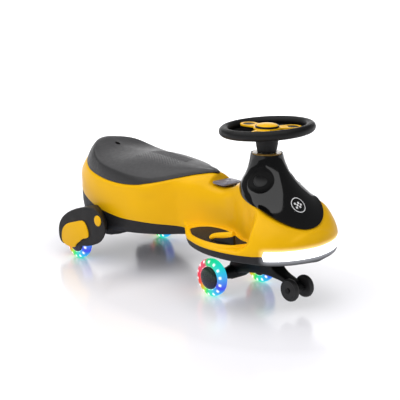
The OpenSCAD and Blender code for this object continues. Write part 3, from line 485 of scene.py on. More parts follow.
def keep(finish, *nodes):
    """CAD nodes that stay as they are get a finish."""
    for node in nodes:
        dress(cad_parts[node], finish)


# Finishes


class Finish:
    """A material under way: its shader and the coordinates of the piece."""

    def __init__(self, name):
        self.material = bpy.data.materials.new(name)
        self.material.use_nodes = True
        self.tree = self.material.node_tree
        self.shader = self.tree.nodes["Principled BSDF"]
        self.where = self.node("TexCoord").outputs["Object"]

    def node(self, kind, **settings):
        made = self.tree.nodes.new("ShaderNode" + kind)
        for key, value in settings.items():
            setattr(made, key, value)
        return made

    def link(self, source, target):
        self.tree.links.new(source, target)

    def set(self, **sockets):
        for key, value in sockets.items():
            self.shader.inputs[key.replace("_", " ")].default_value = value
        return self

    def noise(self, size, detail=3, stretch=(1, 1, 1)):
        """Soft noise with features of about this size in millimetres."""
        made = self.node("TexNoise")
        made.inputs["Scale"].default_value = 1000 / size
        made.inputs["Detail"].default_value = detail
        if stretch == (1, 1, 1):
            self.link(self.where, made.inputs["Vector"])
        else:
            turn = self.node("Mapping")
            turn.inputs["Scale"].default_value = stretch
            self.link(self.where, turn.inputs["Vector"])
            self.link(turn.outputs["Vector"], made.inputs["Vector"])
        return made.outputs["Fac"]

    def cells(self, size, feature="F1"):
        made = self.node("TexVoronoi", feature=feature)
        made.inputs["Scale"].default_value = 1000 / size
        self.link(self.where, made.inputs["Vector"])
        return made.outputs["Distance"]

    def between(self, factor, low, high, from_low=0.0, from_high=1.0, smooth=False):
        made = self.node("MapRange", interpolation_type="SMOOTHSTEP" if smooth else "LINEAR")
        for key, value in (
            ("From Min", from_low), ("From Max", from_high), ("To Min", low), ("To Max", high),
        ):
            made.inputs[key].default_value = value
        self.link(factor, made.inputs["Value"])
        return made.outputs["Result"]

    def maths(self, operation, a, b=0.0):
        made = self.node("Math", operation=operation)
        for socket, value in zip(made.inputs, (a, b)):
            if isinstance(value, (int, float)):
                socket.default_value = value
            else:
                self.link(value, socket)
        return made.outputs["Value"]

    def ramp(self, factor, stops):
        made = self.node("ValToRGB")
        elements = made.color_ramp.elements
        while len(elements) < len(stops):
            elements.new(0.5)
        for element, (place, colour) in zip(elements, sorted(stops, key=lambda s: s[0])):
            element.position = place
            element.color = (*colour, 1)
        self.link(factor, made.inputs["Fac"])
        return made.outputs["Color"]

    def feed(self, socket, source):
        self.link(source, self.shader.inputs[socket])
        return self

    def clouded(self, size, detail, low, high):
        """The colour drifts between two tones."""
        return self.feed("Base Color", self.ramp(self.noise(size, detail), [(0.3, low), (0.7, high)]))

    def rough(self, size, detail, low, high, stretch=(1, 1, 1)):
        """Patches of more and less gloss."""
        return self.feed("Roughness", self.between(self.noise(size, detail, stretch), low, high, 0.3, 0.7))

    def bump(self, height, depth, strength=1.0):
        """Depth is in millimetres."""
        made = self.node("Bump")
        made.inputs["Distance"].default_value = depth * MM
        made.inputs["Strength"].default_value = strength
        self.link(height, made.inputs["Height"])
        before = self.shader.inputs["Normal"]
        if before.is_linked:
            self.link(before.links[0].from_socket, made.inputs["Normal"])
        self.link(made.outputs["Normal"], before)
        return self

    def axes(self, coordinates="Object"):
        made = self.node("SeparateXYZ")
        self.link(self.tree.nodes["Texture Coordinate"].outputs[coordinates], made.inputs["Vector"])
        return made.outputs


def shade(colour, k):
    return tuple(min(1.0, c * k) for c in colour)


def moulded(name, colour, rough, grain, depth, cloud=0.1, gloss=0.5, coat=0.0):
    """Moulded plastic: soft clouding of the colour, fine grain and patches of gloss."""
    f = Finish(name)
    f.clouded(70, 4, shade(colour, 1 - cloud), shade(colour, 1 + cloud))
    f.rough(22, 5, *rough)
    f.bump(f.noise(grain, 2), depth)
    f.set(Coat_Weight=coat, Coat_Roughness=0.08, Specular_IOR_Level=gloss)
    return f


def painted_lamp_glow(f, z_from, z_to, colour, strength):
    """Painted glow: emission on the plastic beside the headlight strip, fading away from it, stands in for
    the lamp's light falling there.
    """
    x, _, z = f.axes()
    fade = f.between(z, 1.0, 0.0, z_from * MM, z_to * MM, True)
    near = f.between(x, 0.0, 1.0, LIT_FROM_X * MM, LIT_FULL_X * MM, True)
    painted_glow = f.maths("MULTIPLY", f.maths("POWER", fade, 2.0), near)
    f.feed("Emission Strength", f.maths("MULTIPLY", painted_glow, strength))
    f.set(Emission_Color=(*colour, 1))


YELLOW = (0.92, 0.5, 0.004)
yellow_shell = moulded("yellow_shell", YELLOW, (0.3, 0.38), 1.6, 0.012, 0.015, 0.15)
# Painted glow of the headlight on the yellow shell above the lens.
painted_lamp_glow(yellow_shell, 160, 176, (1.0, 0.86, 0.5), 0.9)
yellow_trim = moulded("yellow_trim", YELLOW, (0.3, 0.4), 1.4, 0.012, 0.02, 0.15)
black_shell = moulded("black_shell", (0.0145, 0.014, 0.015), (0.5, 0.62), 0.9, 0.05, 0.08, 0.3)
# Painted glow of the headlight on the black tub below the lens.
painted_lamp_glow(black_shell, 142, 122, (0.9, 0.92, 1.0), 0.4)
fender_black = moulded("fender_black", (0.0145, 0.014, 0.0145), (0.52, 0.66), 0.8, 0.07, 0.1, 0.3)
arm_black = moulded("arm_black", (0.005, 0.005, 0.0053), (0.4, 0.5), 1.0, 0.03, 0.12, 0.25)
bowl_black = moulded("bowl_black", (0.003, 0.003, 0.0031), (0.4, 0.5), 0.9, 0.02, 0.1, 0.13)
dull_black = moulded("dull_black", (0.007, 0.007, 0.0072), (0.3, 0.4), 0.9, 0.02, 0.1, 0.35)
gloss_black = moulded("gloss_black", (0.003, 0.003, 0.0032), (0.06, 0.1), 3.0, 0.003, 0.1, 0.5)
inner_plastic = moulded("inner_plastic", (0.06, 0.06, 0.065), (0.45, 0.6), 1.2, 0.03)
nylon = moulded("nylon", (0.78, 0.75, 0.68), (0.4, 0.5), 1.5, 0.02, 0.04)
nylon.set(Subsurface_Weight=0.15, Subsurface_Radius=(0.004, 0.003, 0.002))
pad_grey = moulded("pad_grey", (0.19, 0.18, 0.225), (0.38, 0.5), 0.8, 0.03, 0.06)
key_grey = moulded("key_grey", (0.26, 0.25, 0.3), (0.35, 0.45), 0.8, 0.02, 0.05)
wheel_core = moulded("wheel_core", (0.05, 0.05, 0.056), (0.35, 0.5), 1.2, 0.03)
hub_black = moulded("hub_black", (0.007, 0.007, 0.008), (0.16, 0.26), 1.4, 0.012, 0.1, 0.4, 0.1)
tip_tyre = moulded("tip_tyre", (0.021, 0.0208, 0.0215), (0.42, 0.55), 1.0, 0.04, 0.12, 0.35)
collar_gold = moulded("collar_gold", (0.72, 0.42, 0.1), (0.2, 0.32), 1.2, 0.01, 0.03, coat=0.3)
roundel_white = moulded("roundel_white", (0.86, 0.86, 0.87), (0.35, 0.45), 1.0, 0.005, 0.02)


def seat_finish():
    """Fine leather grain, a darker band round the side, rib crests painted lighter than the grooves as
    painted highlight and shade, and the vent hole's walls painted dark as painted shade.
    """
    f = Finish("seat_grey")
    x, y, _ = f.axes()
    out = f.maths("ABSOLUTE", y)
    field = f.between(out, 1.0, 0.0, 0.04, 0.05, True)
    field = f.maths("MULTIPLY", field, f.between(x, 0.0, 1.0, -0.19, -0.165, True))
    field = f.maths("MULTIPLY", field, f.between(x, 1.0, 0.0, -0.05, -0.02, True))
    along_ribs = f.maths("SUBTRACT", x, f.maths("MULTIPLY", out, RIB_RAKE))
    phase = f.maths("MULTIPLY", along_ribs, math.tau / (RIB_PITCH * MM))
    # Painted highlight and shade: rib crests are made up to 1.6 times lighter than the grooves between them.
    rib = f.maths("MULTIPLY", f.between(f.maths("COSINE", phase), 0.0, 1.0, -0.6, 0.9, True), field)
    away = f.node("VectorMath", operation="LENGTH")
    shift = f.node("Mapping")
    shift.inputs["Location"].default_value = (-VENT_X * MM, 0, 0)
    shift.inputs["Scale"].default_value = (1, 1 / 0.65, 0)
    f.link(f.where, shift.inputs["Vector"])
    f.link(shift.outputs["Vector"], away.inputs[0])
    # Painted shade: the walls of the vent hole are painted nearly black.
    vent_shade = f.between(away.outputs["Value"], 0.04, 1.0, 0.0088, 0.0092)
    aside = f.maths("ABSOLUTE", f.maths("SUBTRACT", f.axes("UV")[0], 0.5))
    top = f.between(aside, 1.0, 0.0, 0.27, 0.3, True)
    clouds = f.maths("MULTIPLY", f.between(f.noise(55, 5), 0.9, 1.1, 0.3, 0.7), top)
    cloud = f.ramp(clouds, [(0.0, (0.018, 0.0175, 0.0185)), (1.0, (0.05, 0.049, 0.051))])
    tone = f.node("Mix", data_type="RGBA", blend_type="MULTIPLY")
    tone.inputs["Factor"].default_value = 1.0
    f.link(cloud, tone.inputs["A"])
    f.link(f.maths("MULTIPLY", f.between(rib, 1.0, 1.6), vent_shade), tone.inputs["B"])
    f.feed("Base Color", tone.outputs["Result"])
    f.rough(9, 4, 0.44, 0.56)
    f.bump(f.cells(1.1, "SMOOTH_F1"), 0.08, 0.7)
    f.bump(f.noise(0.6, 2), 0.04)
    return f


def rubber_finish():
    f = Finish("rim_rubber")
    dark = (0.004, 0.004, 0.0043)
    f.clouded(30, 5, shade(dark, 0.85), shade(dark, 1.15))
    f.rough(6, 4, 0.4, 0.54)
    f.bump(f.cells(0.9), 0.05, 0.7)
    f.set(Specular_IOR_Level=0.24)
    return f


def foot_finish():
    f = Finish("foot_rubber")
    brown = (0.024, 0.018, 0.0125)
    f.clouded(4, 5, shade(brown, 0.7), shade(brown, 1.3))
    f.rough(3, 4, 0.6, 0.8)
    f.set(Specular_IOR_Level=0.3)
    f.bump(f.cells(2.2, "SMOOTH_F1"), 0.35, 0.9)
    f.bump(f.noise(0.7, 2), 0.08)
    return f


def steel_finish():
    f = Finish("steel")
    f.clouded(5, 5, (0.5, 0.5, 0.52), (0.66, 0.66, 0.68))
    f.rough(3, 6, 0.22, 0.42, (1, 1, 0.06))
    f.bump(f.noise(0.5, 3, (1, 1, 0.05)), 0.01)
    f.set(Metallic=1.0)
    return f


def lens_finish():
    """Frosted lens, lit from behind by a row of lamps."""
    f = Finish("lamp_lens")
    f.set(Base_Color=(0.95, 0.96, 1.0, 1), Emission_Strength=2.4)
    f.rough(2, 3, 0.3, 0.45)
    f.bump(f.noise(1.2, 2), 0.02)
    f.feed("Emission Color", f.ramp(f.noise(14, 2), [(0.3, (0.93, 0.96, 1.0)), (0.7, (1.0, 1.0, 1.0))]))
    return f


TYRE_LIGHTS = [
    (0.0, (0.08, 0.33, 1.0)), (0.06, (0.04, 0.6, 1.0)), (0.12, (0.02, 0.8, 0.75)),
    (0.2, (0.01, 0.85, 0.4)), (0.28, (0.01, 0.72, 0.26)), (0.32, (0.9, 0.05, 0.14)),
    (0.4, (0.95, 0.1, 0.18)), (0.5, (1.0, 0.04, 0.09)), (0.59, (1.0, 0.08, 0.02)),
    (0.635, (0.95, 0.5, 0.02)), (0.68, (0.55, 0.9, 0.04)), (0.72, (0.03, 0.9, 0.2)),
    (0.79, (0.02, 0.85, 0.7)), (0.86, (0.03, 0.55, 1.0)), (0.93, (0.06, 0.07, 1.0)),
    (1.0, (0.08, 0.33, 1.0)),
]


def tyre_finish():
    """Clear tyre with coloured lamps inside: hue runs round it, lamps show as white spots."""
    f = Finish("light_tyre")
    across, around, _ = f.axes("UV")
    hue = f.ramp(around, TYRE_LIGHTS)
    turn = f.maths("MULTIPLY", around, TYRE_LAMPS)
    beat = f.maths("ABSOLUTE", f.maths("SUBTRACT", f.maths("FRACT", turn), 0.5))
    lamp = f.between(beat, 1.0, 0.0, 0.04, 0.29, True)
    fold = f.maths("MINIMUM", across, f.maths("SUBTRACT", 1.0, across))
    band = f.between(f.maths("ABSOLUTE", f.maths("SUBTRACT", fold, 0.255)), 1.0, 0.0, 0.01, 0.1, True)
    lip = f.maths("MULTIPLY", f.between(fold, 0.8, 0.0, 0.02, 0.09, True), f.between(lamp, 0.3, 0.9))
    spot = f.maths("MAXIMUM", f.maths("MULTIPLY", lamp, band), lip)
    lit = f.node("Mix", data_type="RGBA")
    f.link(f.maths("MULTIPLY", spot, 0.92), lit.inputs["Factor"])
    f.link(hue, lit.inputs["A"])
    lit.inputs["B"].default_value = (1.0, 1.0, 1.0, 1)
    f.clouded(3, 3, (0.015, 0.015, 0.017), (0.03, 0.03, 0.032))
    f.feed("Emission Color", lit.outputs["Result"])
    f.feed("Emission Strength", f.between(spot, 0.85, 1.4))
    f.rough(4, 4, 0.1, 0.22)
    f.bump(f.noise(2.5, 2), 0.03)
    f.set(Specular_IOR_Level=0.25)
    return f


def smoked_reflection_finish():
    """Smoked hub cap with a painted reflection: the tyre lamps' green and blue are painted into its colour,
    blue towards the bottom and green towards the top.
    """
    f = Finish("smoked_cap")
    z = f.axes()[2]
    # Painted reflection of the tyre lamps, by height on the cap.
    painted_lamp_reflection = f.between(z, 0.0, 1.0, (WHEEL_R - 24) * MM, (WHEEL_R + 24) * MM)
    stops = [(0.1, (0.012, 0.016, 0.06)), (0.45, (0.02, 0.024, 0.03)), (0.9, (0.012, 0.036, 0.022))]
    f.feed("Base Color", f.ramp(f.maths("ADD", painted_lamp_reflection, f.between(f.noise(16, 3), -0.08, 0.08)), stops))
    f.rough(8, 4, 0.2, 0.3)
    f.bump(f.noise(1.4, 2), 0.012)
    f.set(Specular_IOR_Level=0.35)
    return f


def spoke_finish():
    """Yellow cover over a black plate."""
    f = Finish("spoke_cover")
    cover = f.between(f.axes()[2], 0.0, 1.0, (HUB_Z + 0.2) * MM, (HUB_Z + 0.6) * MM)
    f.feed("Base Color", f.ramp(cover, [(0.0, (0.006, 0.006, 0.0064)), (1.0, YELLOW)]))
    f.rough(22, 5, 0.3, 0.4)
    f.bump(f.noise(1.4, 2), 0.012)
    f.set(Specular_IOR_Level=0.15)
    return f


def board_finish():
    f = Finish("circuit_board")
    f.feed("Base Color", f.ramp(f.cells(4), [(0.1, (0.02, 0.2, 0.08)), (0.6, (0.05, 0.32, 0.14))]))
    f.rough(4, 3, 0.25, 0.45)
    f.bump(f.cells(2), 0.1)
    return f


def cell_finish():
    """Printed sleeve with bare steel at both ends of a cell."""
    f = Finish("cell_sleeve")
    _, y, _ = f.axes()
    ends = f.maths("GREATER_THAN", f.maths("ABSOLUTE", y), 23 * MM)
    f.feed("Base Color", f.ramp(ends, [(0.4, (0.03, 0.09, 0.3)), (0.6, (0.6, 0.6, 0.62))]))
    f.feed("Metallic", ends)
    f.rough(6, 3, 0.25, 0.4)
    return f


seat_grey, rim_rubber, foot_rubber = seat_finish(), rubber_finish(), foot_finish()
steel, lamp_lens, light_tyre = steel_finish(), lens_finish(), tyre_finish()
circuit_board, cell_sleeve = board_finish(), cell_finish()
smoked_cap, spoke_cover = smoked_reflection_finish(), spoke_finish()


# Body shell, tub and seat


def waist_half(x):
    p, d, side = along(PARTING, x), half_width(OUTLINE, x), half_width(BODY_SIDE, x)
    shoulder = at(BODY_SHOULDER, x)
    k = ease(28, 60, x)
    narrow = Vector((mix(d, side, 0.8), p + 17))
    root = mix(narrow, at(DECK_ROOT, x), k)
    return [
        shoulder,
        Vector((side, mix(shoulder.y, root.y, 0.35))),
        Vector((side + 0.4 * min(1, side), mix(shoulder.y, root.y, 0.72))),
        root,
        mix(Vector((mix(d, side, 0.5), p + 10)), root + Vector((6, -2)), k),
        mix(Vector((mix(d, side, 0.25), p + 5)), Vector((max(d - 8, root.x + 7), along(DECK_HEIGHT, x))), k),
        Vector((d, p + 2 + k)),
    ]


def hood_half(x):
    p, d, e = along(HOOD_FOOT, x) + 3, half_width(OUTLINE, x), at(BODY_EDGE, x)
    drop = max(1, e.y - p)
    return [
        Vector((mix(e.x, d, math.sin(a)), p + drop * math.cos(a) ** 1.2 if i < 7 else p))
        for i in range(1, 8)
        for a in [i * math.pi / 14]
    ]


def body_half(x):
    e, k = at(BODY_EDGE, x), ease(297, 336, x)
    mid = [mix(w, h, k) for w, h in zip(waist_half(x), hood_half(x))]
    low = Vector((max(0, half_width(OUTLINE, x) - 0.3), along(PARTING, x)))
    return [Vector((0, e.y + 0.5)), e, *mid, low]


def seat_half(x):
    c, r = along(SEAT_CROWN, x), at(SEAT_RIM, x)
    e = Vector((half_width(SEAT_EDGE, x), along(SEAT_EDGE, x, 2) + 0.3))
    dish = 2 * ease(-360, -320, x) * (1 - ease(-240, -180, x))
    crown = ease(-200, -100, x)
    bulge = min(mix(4, 1.5, ease(-340, -240, x)), 0.3 * e.x)
    return [
        Vector((0, c)),
        Vector((0.3 * r.x, mix(c, r.y, 0.05) - dish + 0.5 * crown)),
        Vector((0.6 * r.x, mix(c, r.y, 0.3) - dish * 0.8 + 2 * crown)),
        Vector((0.86 * r.x, mix(c, r.y, 0.68) + 2 * crown)),
        r,
        mix(r, e, 0.3) + Vector((bulge, 0)),
        mix(r, e, 0.7) + Vector((bulge * 0.7, 0)),
        e,
    ]


def tub_top(x):
    return mix(along(PARTING, x) - 0.3, LAMP_TOP_Z - LAMP_H - 0.6, ease(360.8, 364.5, x))


def tub_half(x):
    d, b, top = max(0, half_width(OUTLINE, x) - 0.6), at(BELLY, x), tub_top(x)
    c = Vector((mix(b.x, d, 0.72), mix(b.y, top, 0.16)))
    return [
        Vector((d, top)),
        Vector((max(0, d - 0.6), mix(top, c.y, 0.45))),
        Vector((mix(c.x, d, 0.6), mix(top, c.y, 0.8))),
        c,
        b,
        Vector((0, b.y)),
    ]


def over_top(x, half, per):
    """A section from the left edge over the top to the right edge."""
    points = [(x, p.x, p.y) for p in reversed(half)] + [(x, -p.x, p.y) for p in half[1:]]
    return fair(points, per)


def under_belly(x, half, per):
    points = [(x, -p.x, p.y) for p in half] + [(x, p.x, p.y) for p in reversed(half[:-1])]
    return fair(points, per)


def make_body():
    rows = [over_top(x, body_half(x), 4) for x in spread(BODY_STATIONS, 3)]
    shell = wall(facing(skin("body_shell_top", rows), (0, 0, 1)), SHELL_WALL)
    return fit(shell, yellow_shell, "chassis", "yellow_shell", "body_shell", smooth=50)


def make_tub():
    rows = [under_belly(x, tub_half(x), 4) for x in spread(BODY_STATIONS, 3)]
    tub = wall(facing(skin("chassis_tub_shell", rows), (0, 0, -1)), SHELL_WALL)
    tool = spun("column_tool", [(0, 110), (18, 110), (18, 150), (0, 150)], 48, column())
    return fit(cut(tub, tool), black_shell, "chassis", "black_shell", "chassis_tub", smooth=50)


def rib_section(share):
    """A low rounded bar that sinks into the seat at both ends."""
    rise = min(1, 8 * share, 8 * (1 - share))
    crest = [(-1.9, -0.3), (-1.4, 0.12), (-0.7, 0.38), (0, 0.45), (0.7, 0.38), (1.4, 0.12), (1.9, -0.3)]
    return [(u, v - 0.7 * (1 - rise)) for u, v in crest]


def make_seat_ribs(seat):
    """Raised chevrons that grip across the crowned middle of the saddle."""
    bpy.context.view_layer.update()
    ribs = []
    for k in range(-23, -3):
        runs = [[]]
        for y in range(-RIB_HALF, RIB_HALF + 1, 2):
            x = RIB_PITCH * k + RIB_RAKE * abs(y)
            if RIB_REAR <= x <= RIB_FRONT:
                _, place, _, _ = seat.ray_cast(Vector((x, y, 320)) * MM, Vector((0, 0, -1)))
                runs[-1].append(Vector((x, y, place.z / MM)))
            elif runs[-1]:
                runs.append([])
        ribs += [swept("seat_rib", run, rib_section) for run in runs if len(run) > 4]
    for rib in ribs:
        for corner in rib.data.uv_layers.active.data:
            corner.uv = (0.5, 0.5)
    return ribs


def make_seat():
    stations = [-402, -401.6, -401, -399.5, -397.5, -395, -392, -388, -384, -380]
    stations += [-380 + 2.5 * i for i in range(1, 185)] + [84, 86, 88, 89.3, 90]
    rows = [over_top(x, seat_half(x), 8) for x in stations]
    seat = wall(facing(skin("seat_moulding", rows), (0, 0, 1)), SEAT_WALL)
    oval = [(VENT_X + VENT_L * math.cos(a), VENT_W * math.sin(a)) for a in full_turn(40)]
    tool = plate("seat_hole_tool", oval, 250, 300, lambda x, y, z: (x, y, z))
    seat = cut(seat, tool)
    seat = joined("seat_moulding", seat, *make_seat_ribs(seat))
    return fit(seat, seat_grey, "chassis", "seat_grey", "seat", smooth=50)


# Cowl and steering column


def cowl_point(ring, turn):
    c = math.cos(turn)
    reach = ring[5] - ring[2] if c > 0 else ring[2] - ring[0]
    rise = ring[6] - ring[4] if c > 0 else ring[1] - ring[4]
    place = (STEER_X + ring[2] + c * reach, math.sin(turn) * ring[3], ring[4] + abs(c) ** 1.5 * rise)
    return dished(Vector(place))


def on_side(v, side):
    return Vector((v.x, side * v.y, v.z))


def dished(point):
    """The cowl sinks into a shallow bowl round each side cap."""
    side = 1 if point.y > 0 else -1
    axis = on_side(CAP_AXIS, side)
    away = point - on_side(CAP_PLACE, side)
    radius = (away - axis * away.dot(axis)).length
    if abs(away.dot(axis)) > 30:
        return point
    return point - axis * BOWL_DEPTH * (1 - ease(BOWL_FLAT_R, BOWL_R, radius))


def make_cowl():
    rings = fair(COWL_RINGS, 9)
    turns = full_turn(160)
    top = [cowl_point(COWL_RINGS[0], t) for t in turns]
    lip = [Vector((mix(STEER_X, p.x, 0.94), p.y * 0.94, p.z - 1.2)) for p in top]
    rows = [lip, *[[cowl_point(r, t) for t in turns] for r in rings]]
    cowl = wall(facing(skin("cowl_shell", rows, wrap=True, turn=True), (1, 0, 0)), COWL_WALL)
    return fit(cowl, gloss_black, "chassis", "gloss_black", "cowl", smooth=50)


def make_cowl_caps(cowl):
    place, out = on_side(CAP_PLACE, -1), on_side(CAP_AXIS, -1)
    across = out.cross(Vector((0, 0, 1))).normalized()
    up = across.cross(out)
    ring = [across * math.cos(t) + up * math.sin(t) for t in full_turn(96)]
    rows = [[place + p * (1 + r * 2.5) for p in ring] for r in range(13)]
    bowl = skin("cowl_bowl_right", rows, wrap=True)
    on_surface(bowl, cowl, out, MARK_LIFT)
    facing(bowl, out)
    fit_pair(bowl, bowl_black, "gloss_black")
    section = [
        (0, -6), (15.8, -6), (16, 0.6), (15.7, 1.6), (14.9, 2.3), (13.6, 2.6), (10, 3.1), (5, 3.5), (0, 3.6),
    ]
    turn = CAP_AXIS.to_track_quat("Z", "Y").to_matrix().to_4x4()
    knob = spun("cowl_knob_left", section, 64, Matrix.Translation((CAP_PLACE - CAP_AXIS * 3.4) * MM) @ turn)
    fit_pair(knob, dull_black, "gloss_black", "cowl_cap")


def make_column():
    collar = spun(
        "collar_ring",
        [(21, 343.6), (33, 343.6), (33.4, 345.5), (32.8, 346.7), (31.6, 347), (22.6, 347), (21, 345.6)],
        96, column(),
    )
    fit(collar, collar_gold, "chassis", "yellow_shell", "column_collar")
    stem = spun(
        "stem_sleeve",
        [
            (11.3, 348), (21.2, 348), (22, 348.8), (22.4, 352), (24, 360), (25.2, 368), (25.5, 374),
            (25.5, 388), (25.9, 389), (25.9, 393), (25.2, 395.4), (11.3, 395.4),
        ],
        96, column(),
    )
    fit(stem, rim_rubber, "steering", "rim_rubber", "stem", smooth=25)
    keep(inner_plastic, "column_housing")
    keep(nylon, "upper_bush", "lower_bush")
    keep(steel, "steering_shaft", "thrust_washer")


def make_steering_wheel():
    lean = column(RIM_Z) @ Matrix.Rotation(RIM_LEAN_TURN, 4, "Z") @ Matrix.Rotation(-RIM_LEAN, 4, "Y")
    section = [(RIM_R + RIM_T / 2 * math.cos(a), RIM_T / 2 * math.sin(a)) for a in full_turn(28)]
    grip = spun("grip", section, 144, lean)
    web = spun(
        "web",
        [
            (26, -14), (26, -11.5), (76, -11.5), (80, -10.9), (84, -9.2), (88, -6.2), (92, -4), (94, -6),
            (89, -9), (86, -11.6), (82.5, -13.4), (79, -14),
        ],
        144, lean,
    )
    seat = spun("web_seat", [(26, 387.5), (29, 387.5), (29, 395.7), (26, 395.7)], 72, column())
    rim = joined("steering_grip", grip, web, seat)
    fit(rim, rim_rubber, "steering", "rim_rubber", "steering_rim")
    spokes = softened("steering_spokes", "spoke_plate", 1.6, 3)
    fit(spokes, spoke_cover, "steering", "yellow_shell", "steering_spokes")
    outline = [(LOBE_R * math.cos(a), LOBE_R * math.sin(a)) for a in arc(-142, 142, 40)]
    inlays = []
    for turn in (60, 180, 300):
        c, d = math.cos(math.radians(turn)), math.sin(math.radians(turn))

        def put(x, y, z, c=c, d=d):
            return (STEER_X + (LOBE_REACH + x) * c - y * d, (LOBE_REACH + x) * d + y * c, z)

        inlays.append(eased(plate("lobe_inlay", outline, HUB_Z - 3, HUB_Z + 3.2, put), 0.4, 2))
    fit(joined("lobe_inlays", *inlays), rim_rubber, "steering", "rim_rubber")
    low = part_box("horn_cup")[0].z / MM
    cup = spun(
        "horn_ring",
        [
            (0, low), (26.4, low), (27.1, low + 1), (27.1, low + 8), (26.6, low + 9.2), (25.7, low + 9.5),
            (25.1, low + 9), (25.1, low + 3), (0, low + 3),
        ],
        96, column(),
    )
    fit(cup, hub_black, "steering", "gloss_black", "horn_cup")
    foot, top = (v.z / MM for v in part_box("horn_button"))
    dome = [(24.6 * math.cos(a), foot + 1.6 + (top - foot - 1.6) * math.sin(a)) for a in arc(0, 90, 12)]
    button = spun("horn_dome", [(0, foot), (24.2, foot), (24.7, foot + 0.6), *dome], 96, column())
    fit(button, yellow_trim, "horn", "yellow_shell", "horn_button")
    keep(inner_plastic, "horn_switch")


# Foot decks


def deck_height(body, x, y):
    hit, place, _, _ = body.ray_cast(Vector((x, y, 230)) * MM, Vector((0, 0, -1)))
    return place.z / MM if hit else 150


def make_foot_deck(body):
    ends = [(95.6, 89, 89), *FOOT_ROWS, (287.6, 97, 97)]
    rows = []
    for r in fair(ends, 6):
        line = []
        for i in range(25):
            k = i / 24
            inside = mix(r.y + 3, max(r.y + 3, r.z - 3), k)
            line.append((r.x, -mix(r.y, r.z, k), deck_height(body, r.x, -inside) + 2.4))
        rows.append(line)
    panel = wall(facing(skin("foot_panel_right", rows), (0, 0, 1)), 2)
    fit_pair(panel, foot_rubber, "foot_rubber", "foot_pad")
    inner = [(x, BEAD_CLEAR - a) for x, a, _ in FOOT_ROWS]
    outer = [(x, -BEAD_CLEAR - b) for x, _, b in reversed(FOOT_ROWS)]
    loop = fair([(*p, 0) for p in [*inner, (290.6, -97), *outer, (93, -89)]], 6, True)
    centre = Vector((190, -100, 0))
    line = []
    for p in loop:
        inward = p + (centre - p).normalized() * 6
        line.append(Vector((p.x, p.y, deck_height(body, inward.x, inward.y) - 0.6)))
    bead = [
        (3.4, 0), (3.1, 1.9), (2.2, 3.3), (0.8, 4.1), (-0.8, 4.2), (-2.6, 3.8), (-4.4, 2.8), (-6.2, 1.2),
        (-7.8, -0.9), (-9, -3.4), (-9.4, -5.5), (-4, -5.5), (1.5, -4), (2.9, -2),
    ]
    rim = swept("foot_bead_right", line, lambda s: bead, closed=True)
    fit_pair(rim, yellow_shell, "yellow_shell")


def make_foot_stops():
    line = fair([(x, -y, z) for x, y, z in STOP_LINE], 8)

    def bar(s):
        k = math.sqrt(max(0.02, 1 - abs(2 * s - 1) ** mix(6, 30, s)))
        rise = mix(5.4, 7.4, s)
        return [(7.5 * k * math.cos(a), rise * k * math.sin(a)) for a in arc(0, 345, 23)]

    cap = swept("foot_stop_bar_right", line, bar)
    fit_pair(cap, yellow_trim, "yellow_shell", "foot_stop_cap")
    a, b = Vector((228, -130)), Vector((271, -122))
    way = (b - a).normalized()
    side = Vector((-way.y, way.x))
    capsule = []
    for end, start in ((b, -90), (a, 90)):
        for t in arc(start, start + 180, 12):
            capsule.append(end + way * 6 * math.cos(t) + side * 6 * math.sin(t))
    rows = []
    for k in (0, 0.15, 0.5, 0.85, 1):
        flare = 1 + 0.05 * (1 - k) ** 2
        middle = (a + b) / 2
        row = []
        for p in capsule:
            q = middle + (p - middle) * flare
            top = mix(171.5, 180.5, (p.x - 222) / 55)
            row.append((q.x, q.y, mix(159.6, top, k)))
        rows.append(row)
    base = skin("foot_stop_block_right", rows, wrap=True, cap=True, turn=True)
    eased(base, 0.8, 2, 50)
    fit_pair(base, arm_black, "black_shell", "foot_stop")


# Music pad, headlight and marks


def rounded_box(length, width, r, steps=8):
    line = []
    for cx, cy, start in (
        (length / 2 - r, width / 2 - r, 0), (r - length / 2, width / 2 - r, 90),
        (r - length / 2, r - width / 2, 180), (length / 2 - r, r - width / 2, 270),
    ):
        line += [(cx + r * math.cos(a), cy + r * math.sin(a)) for a in arc(start, start + 90, steps)]
    return line


def make_music_pad():
    def put(x, y, z):
        return (PAD_X + x, y, PAD_Z + z)

    top = eased(plate("music_pad_cover", rounded_box(46, 60, 10), 4.3, 8.3, put), 1.3, 3)
    fit(top, pad_grey, "chassis", "pad_grey", "music_pad")
    foot = eased(plate("music_pad_foot", rounded_box(34, 44, 8), 0, 4.2, put), 0.6, 2)
    fit(foot, black_shell, "chassis", "black_shell", "music_pad_base")
    keys = []
    for x, y, size in ((0, 0, 14), (12, 17, 9), (12, -17, 9), (-12, 17, 9), (-12, -17, 9)):
        line = rounded_box(size, size, 0.45 * size, 6)
        key = plate("music_key", line, 8.1, 8.8, lambda u, v, z, x=x, y=y: put(x + u, y + v, z))
        keys.append(eased(key, 0.3, 2))
    fit(joined("music_keys", *keys), key_grey, "chassis", "pad_grey")
    keep(inner_plastic, "speaker")


def lamp_line():
    xs = [361.4 + 0.3 * i for i in range(12)] + [365 + 49 * math.sin(a) for a in arc(0, 90, 40)]
    right = [Vector((x, -half_width(OUTLINE, x))) for x in xs]
    left = [Vector((p.x, -p.y)) for p in reversed(right[:-1])]
    return right + left


def make_headlight():
    """The lens fills the slot between shell and tub, up to where the two meet."""
    line = lamp_line()
    rows = []
    for i, p in enumerate(line):
        a, b = line[max(0, i - 1)], line[min(len(line) - 1, i + 1)]
        out = Vector((b.y - a.y, a.x - b.x)).normalized()
        foot, top = tub_top(p.x) + 0.2, along(PARTING, p.x) - 0.2
        row = []
        for j in range(13):
            v = j / 6 - 1
            q = p + out * (0.9 * (1 - v**4) - 0.3)
            row.append((q.x, q.y, mix((foot + top) / 2, max(foot, top), v)))
        rows.append(row)
    lens = wall(facing(skin("headlight_strip", rows), (1, 0, 0)), 3)
    fit(lens, lamp_lens, "chassis", "lamp_lens", "headlight_lens", smooth=60)
    keep(circuit_board, "headlight_board")


